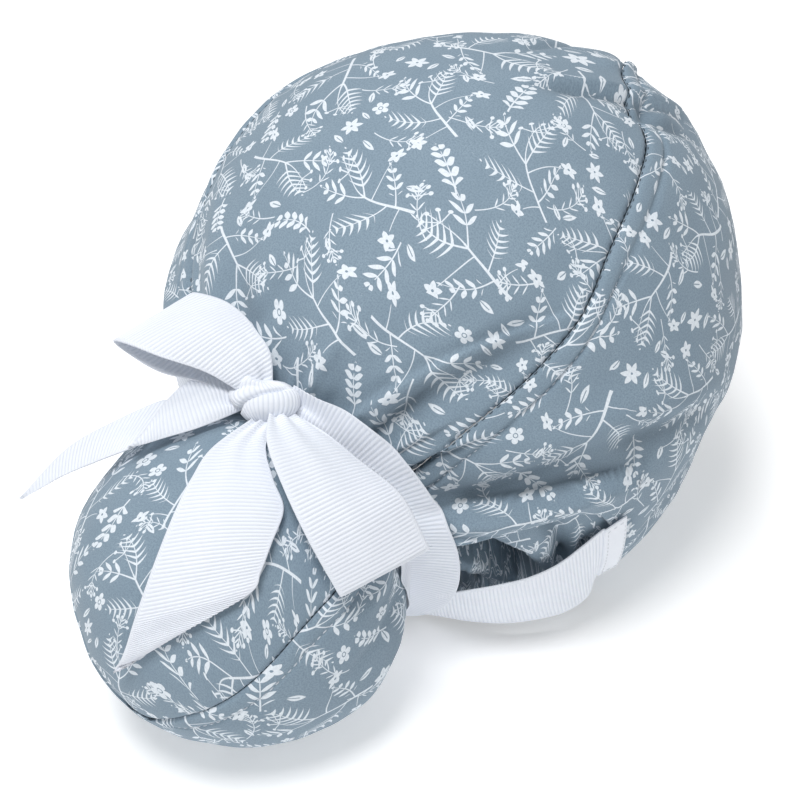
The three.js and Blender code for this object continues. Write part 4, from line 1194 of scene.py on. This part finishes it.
TAIL_FRONT = [
    (-108.0, 0.3, 111.5, -105.4, -2.4, 109.8, 0), (-134.0, 0.8, 113.4, -122.4, -11.2, 111.8, 0.6),
    (-147.4, -1.2, 110.8, -131.2, -21.1, 108.9, 1.8), (-158.3, -3.3, 106.0, -136.8, -29.6, 104.6, 3.2),
    (-170.2, -5.4, 97.4, -147.9, -33.4, 100.0, 3.6), (-178.8, -5.7, 86.8, -155.6, -35.0, 94.6, 3.9),
    (-183.6, -5.2, 78.6, -161.4, -35.0, 89.9, 4.1), (-187.0, -3.9, 69.4, -177.2, -23.2, 80.6, 2.0),
    (-189.0, -2.0, 62.4, -183.9, -12.4, 70.2, 0.9), (-189.6, 0.8, 56.4, -188.8, -2.6, 60.4, 0.2),
]


# %% Loops and tails
def bow_strip(rows, pinch_ends, tuck):
    """pinch_ends: the row numbers that are pinched in the knot."""
    def strip(at, s):
        row = curve_along(rows, at)
        a, b, bulge = row[:, 0:3], row[:, 3:6], row[:, 6]
        last = len(rows) - 1
        ahead = curve_along(rows, np.minimum(at + 0.1, last))
        behind = curve_along(rows, np.maximum(at - 0.1, 0))
        way = (ahead[:, 0:3] + ahead[:, 3:6]) - (behind[:, 0:3] + behind[:, 3:6])
        normal = unit(np.cross(way, b - a))
        normal = normal * np.where(normal[:, 2:3] < 0, -1, 1)
        places = a[:, None] + (b - a)[:, None] * s[None, :, None]
        rise = bulge[:, None] * 4 * s * (1 - s)
        for end in pinch_ends:
            near = np.exp(-np.abs(at - end) / 1.1)[:, None]
            rise = rise + tuck * near * np.sin(s * 2 * math.pi * 2.5 + 0.8 + 0.4 * end)
        return places + normal[:, None] * rise[..., None]
    return strip


def bow_outward(places):
    """Away from the middle of a loop, whose two ends meet, and upwards from a tail."""
    if np.linalg.norm(places[0].mean(0) - places[-1].mean(0)) < 20:
        return places - places.reshape(-1, 3).mean(0)
    outward = np.zeros_like(places)
    outward[..., 2] = 1
    return outward


def bow_ribbon(name, rows, pinch_ends, tuck=1.0, cut_from=None):
    return ribbed_strip(name, bow_strip(rows, pinch_ends, tuck), len(rows) - 1, bow_outward,
                        cut_from=cut_from)


loop_left, loop_left_length = bow_ribbon("bow_loop_ribbon_left", LOOP_LEFT, (0, 9))
loop_right, loop_right_length = bow_ribbon("bow_loop_ribbon_right", LOOP_RIGHT, (0, 10))
tail_left, _ = bow_ribbon("bow_tail_ribbon_left", TAIL_LEFT, (0,), cut_from=7)
tail_front, tail_front_length = bow_ribbon("bow_tail_ribbon_front", TAIL_FRONT, (0,), 0.8, 6)

# %% [markdown]
# ## The knot
# The same ribbon, folded and drawn tight round the middle of the bow. It starts as a fine
# sphere, and its points are then moved to a rounded box with the folded ribbon's edges,
# creases and ribs.

# %% Knot
KNOT_HALF = (11.6, 6.0, 6.6)  # half its width, depth and height
KNOT_TIP, KNOT_TURN = -30, -54.5
KNOT_PLACE = np.array([-108.0, 1.9, 114.6])


def deselect():
    for thing in bpy.context.selected_objects:
        thing.select_set(False)


def euler_zxy(tip, turn):
    """A tip about X and then a turn about Z."""
    return np.array((Matrix.Rotation(math.radians(turn), 3, "Z")
                     @ Matrix.Rotation(math.radians(tip), 3, "X")))


def make_knot():
    deselect()
    bpy.ops.mesh.primitive_uv_sphere_add(segments=120, ring_count=80, radius=1.0)
    knot = bpy.context.object
    knot.name = "knot_ribbon"
    deselect()
    mesh = knot.data
    count = len(mesh.vertices)
    u = np.zeros(count * 3)
    mesh.vertices.foreach_get("co", u)
    u = u.reshape(-1, 3)
    squared = np.sign(u) * np.abs(u) ** 0.78
    p = squared * np.array(KNOT_HALF)
    x, height = p[:, 0].copy(), p[:, 2].copy()
    run = np.arctan2(x / KNOT_HALF[0], -p[:, 1] / KNOT_HALF[1]) * 10.0
    front = smooth(0.5, -0.3, u[:, 1])
    # The lower turn lies over the upper one: its edge rises from the left to the right
    edge = 4.0 - 0.022 * np.minimum(x - 7.5, 0) ** 2
    over = height - edge
    upper = smooth(-0.35, 0.35, over)
    swell = mix(1.1 * np.exp(-((over + 3.5) / 3.6) ** 2), 0.5 * np.exp(-((over - 2.4) / 1.6) ** 2)
                - 0.5, upper)
    groove = -1.5 * np.exp(-((over - 0.35) / 0.5) ** 2) * smooth(9.5, 6.5, x)
    collar = 2.6 * np.exp(-((x + 5.0) / 3.6) ** 2) * smooth(3.4, 6.4, height)
    tuck = -1.1 * np.exp(-((height - 5.3 - 0.08 * x) / 0.5) ** 2) * smooth(1.5, -2, x)
    slant = run + 0.55 * over * upper
    ribs = 0.2 * np.cos(slant * 2 * math.pi / RIB) * smooth(7.0, 5.6, np.abs(height))
    out = unit(np.stack([x / 11.6 ** 2, p[:, 1] / 36.0, height / 44.0], -1))
    p = p + out * (ribs + (swell + groove + tuck) * front)[:, None]
    p[:, 2] += collar
    p[:, 0] += 5.0 * smooth(3.0, -6.4, height) * smooth(2.0, -11.0, x)
    world = p @ euler_zxy(KNOT_TIP, KNOT_TURN).T + KNOT_PLACE
    mesh.vertices.foreach_set("co", to_frame(world).reshape(-1))
    mesh.uv_layers.new(name="print")
    loops = np.zeros(len(mesh.loops), int)
    mesh.loops.foreach_get("vertex_index", loops)
    flat = np.stack([np.clip(height * 1.6, -17, 17), slant], -1)[loops]
    mesh.uv_layers["print"].data.foreach_set("uv", flat.astype(np.float32).reshape(-1))
    mesh.uv_layers["print"].active_render = True
    mesh.polygons.foreach_set("use_smooth", np.ones(len(mesh.polygons), bool))
    mesh.materials.append(GROSGRAIN)
    mesh.update()
    print("knot", count, "points")
    return knot


knot = make_knot()

# %% [markdown]
# ## Stitches
# Rows of thread hold the seams: a topstitch on the band, one along each side of the pouch, and
# a box of stitches on each sewn ribbon end. A row of near-black stitches in the crown's seam is
# painted shadow for the shade between its puckers. Each row is one mesh of short threads, laid
# one by one along its path.

# %% A row of stitches
STITCH = 2.0


def stitch_row(name, path, normals, finish, gap=0.8, thick=0.27):
    """Short threads along a path, each dipping into the cloth at its two ends."""
    run = run_along(path)
    count = int(run[-1] / (STITCH + gap))
    rings, around = 6, 6
    verts, faces = [], []
    for k in range(count):
        start = k * (STITCH + gap) + 0.4
        at = start + np.linspace(0, STITCH, rings)
        centre = np.stack([np.interp(at, run, path[:, i]) for i in range(3)], -1)
        n = unit(np.stack([np.interp(at, run, normals[:, i]) for i in range(3)], -1))
        t = np.linspace(0, 1, rings)
        centre = centre + n * (0.32 * np.sin(math.pi * t) - 0.22)[:, None]
        way = unit(np.gradient(centre, axis=0))
        side = unit(np.cross(way, n))
        up = np.cross(side, way)
        size = thick * np.sqrt(np.clip(1.05 - (2 * t - 1) ** 4, 0.05, 1))
        base = len(verts)
        for i in range(rings):
            for j in range(around):
                a = 2 * math.pi * j / around
                verts.append(centre[i] + size[i] * (math.cos(a) * side[i] + math.sin(a) * up[i]))
        for i in range(rings - 1):
            for j in range(around):
                a, b = base + i * around + j, base + i * around + (j + 1) % around
                faces.append((a, b, b + around, a + around))
        faces.append(tuple(base + j for j in range(around))[::-1])
        faces.append(tuple(base + (rings - 1) * around + j for j in range(around)))
    mesh = bpy.data.meshes.new(name)
    mesh.from_pydata(to_frame(np.array(verts)).tolist(), [], faces)
    print(name, count, "stitches")
    return link_smooth(name, mesh, finish)


def path_below_seam(distance, theta_from=0.0):
    """Places on the band at one distance from the crown's seam, and their outward normals."""
    stations = seam_stations()
    _, _, angle = seam_to_hem(stations)
    places, _, _ = band_places(stations, distance / (angle * CROWN_ARC))
    path = places[:, 0]
    path = path[np.linalg.norm(np.diff(path, axis=0, prepend=path[:1] - 1), axis=-1) > 0.05]
    normals = unit(path - CROWN_CENTRE)
    shown = neck_angles(normals)[0] > theta_from
    return path[shown], normals[shown]


band_stitches = stitch_row("band_topstitch", *path_below_seam(TOPSTITCH, THREAD_FROM),
                           BLUE_THREAD)
# Painted shadow: near-black stitches along the crown's seam.
seam_shade_stitches = stitch_row("crown_seam_shadow_dashes", *path_below_seam(SEAM_SHADOW_LINE), SEAM_SHADOW_THREAD,
                           gap=1.2, thick=0.22)


def path_on_pouch(side):
    count = 120
    stations = pouch_stations(count)
    theta, phi = neck_angles(pouch_direction(stations[:, 0], stations[:, 1]))
    reach = np.sin(np.radians(theta)) * math.pi / 180 * POUCH_ARC * (360 - 2 * phi)
    share = (POUCH_TOPSTITCH / np.maximum(reach, 20))[:, None]
    places, _, _ = pouch_side_places(count, share if side > 0 else 1 - share)
    path = places[:, 0][4:-6]
    return path, unit(path - POUCH_CENTRE)


pouch_stitches = [stitch_row(f"pouch_topstitch_{name}", *path_on_pouch(side), BLUE_THREAD)
                  for name, side in (("right", 1), ("left", -1))]


def path_on_strap(sign):
    """A box of stitches inside the folded end of a strap."""
    at = [0.12, 0.85, 0.85, 0.12, 0.12]
    share = [0.06, 0.06, 0.94, 0.94, 0.06]
    count = 240
    number = np.linspace(0, 4, count)
    rows = np.interp(number, range(5), at)
    places = strap_strip(sign)(rows, np.interp(number, range(5), share))
    path = places[np.arange(count), np.arange(count)]
    return path, unit(path - CROWN_CENTRE)


strap_stitches = [stitch_row(f"strap_stitches_{name}", *path_on_strap(sign), WHITE_THREAD,
                             gap=0.7, thick=0.2)
                  for name, sign in (("right", 1), ("left", -1))]

# %% [markdown]
# ## Joining the pieces to the frame
# Each cloth piece rides on the cap's one body and stands for the solid of the same place, and
# each sheet says its flat size, an estimate for the cloth and measured for most ribbons.

# %% Joining the pieces to the frame
PIECES = [
    (crown_cloth, "crown_panel", "printed_cotton"), (band_cloth, "side_band", "printed_cotton"),
    (nape_cloth, "nape_casing", "printed_cotton"),
    (pouch_top_cloth, "pouch_top_panel", "printed_cotton"),
    (pouch_side_cloth, "pouch_side_panel", "printed_cotton"),
    (strap_right, "ribbon_strap_right", "white_grosgrain"),
    (strap_left, "ribbon_strap_left", "white_grosgrain"),
    (neck_ribbon, "ribbon_neck_wrap", "white_grosgrain"), (knot, "bow_knot", "white_grosgrain"),
    (loop_left, "bow_loop_left", "white_grosgrain"),
    (loop_right, "bow_loop_right", "white_grosgrain"),
    (tail_left, "bow_tail_left", "white_grosgrain"),
    (tail_front, "bow_tail_front", "white_grosgrain"),
]
for piece, node, slot in PIECES:
    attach(piece, "root")
    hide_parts(node)
for piece in [band_stitches, seam_shade_stitches] + pouch_stitches:
    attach(piece, "root")
for piece in strap_stitches:
    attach(piece, "root")

# %% [markdown]
# ## Floor, light and camera
# The cap lies on a plain pale floor. A soft studio light stands above, on the camera's side,
# and a weaker one shines from the top. The camera looks down from behind the right side.

# %% Floor and light
deselect()
bpy.ops.mesh.primitive_plane_add(size=8, location=(0, 0, -0.0003))
floor = bpy.context.object
floor.name = "floor"
deselect()
f = Finish("pale_floor")
f.shader.inputs["Base Color"].default_value = (0.86, 0.86, 0.86, 1)
f.shader.inputs["Emission Color"].default_value = (1.0, 1.0, 1.0, 1)
f.shader.inputs["Emission Strength"].default_value = 0.36
f.shader.inputs["Roughness"].default_value = 0.95
f.shader.inputs["Specular IOR Level"].default_value = 0.05
floor.data.materials.append(f.material)
floor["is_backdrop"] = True

AIMED_AT = Vector((0.0443, 0.0, 0.082))  # the crown's middle
AZIMUTH, ELEVATION = math.radians(-54.48), math.radians(37.0)
BACK = Vector((math.sin(AZIMUTH) * math.cos(ELEVATION), -math.cos(AZIMUTH) * math.cos(ELEVATION),
               math.sin(ELEVATION)))
SIDE = Vector((0, 0, 1)).cross(BACK).normalized()
UP = BACK.cross(SIDE)


def area_light(name, way, distance, size, power):
    data = bpy.data.lights.new(name, "AREA")
    data.shape = "DISK"
    data.size = size
    data.energy = power
    lamp = bpy.data.objects.new(name, data)
    bpy.context.scene.collection.objects.link(lamp)
    lamp.location = AIMED_AT + way.normalized() * distance
    lamp.rotation_euler = (-way).to_track_quat("-Z", "Y").to_euler()


area_light("key", -0.15 * SIDE + 0.55 * UP + 0.85 * BACK, 1.9, 0.7, 24)
area_light("top", -0.3 * SIDE + 1.0 * UP + 0.3 * BACK, 1.6, 0.8, 5)
world = bpy.data.worlds.new("studio")
world.use_nodes = True
world.node_tree.nodes["Background"].inputs[0].default_value = (0.97, 0.985, 1.0, 1)
world.node_tree.nodes["Background"].inputs[1].default_value = 0.36
bpy.context.scene.world = world
bpy.context.scene.view_settings.view_transform = "Standard"

# %% Camera
FOCAL_PIXELS, PICTURE_PIXELS = 2500, 800
CAMERA_DISTANCE = 0.9
SHIFT_RIGHT, SHIFT_UP = 60, 80  # pixels from the crown's middle to the picture's

data = bpy.data.cameras.new("camera")
data.sensor_width = 36
data.lens = FOCAL_PIXELS * data.sensor_width / PICTURE_PIXELS
camera = bpy.data.objects.new("camera", data)
bpy.context.scene.collection.objects.link(camera)
camera.location = AIMED_AT + BACK * CAMERA_DISTANCE
aim = BACK + SIDE * (SHIFT_RIGHT / FOCAL_PIXELS) + UP * (SHIFT_UP / FOCAL_PIXELS)
aim = aim.normalized()
across = (SIDE - aim * SIDE.dot(aim)).normalized()
camera.rotation_euler = Matrix((across, aim.cross(across), aim)).transposed().to_euler()
bpy.context.scene.camera = camera
print("camera at", [round(x, 3) for x in camera.location])

# %% Finish
visual_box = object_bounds()
for name, a, b in zip("xyz", zip(*cad_box), zip(*visual_box)):
    print(name, "frame", [round(1000 * v, 1) for v in a], "visual", [round(1000 * v, 1) for v in b])
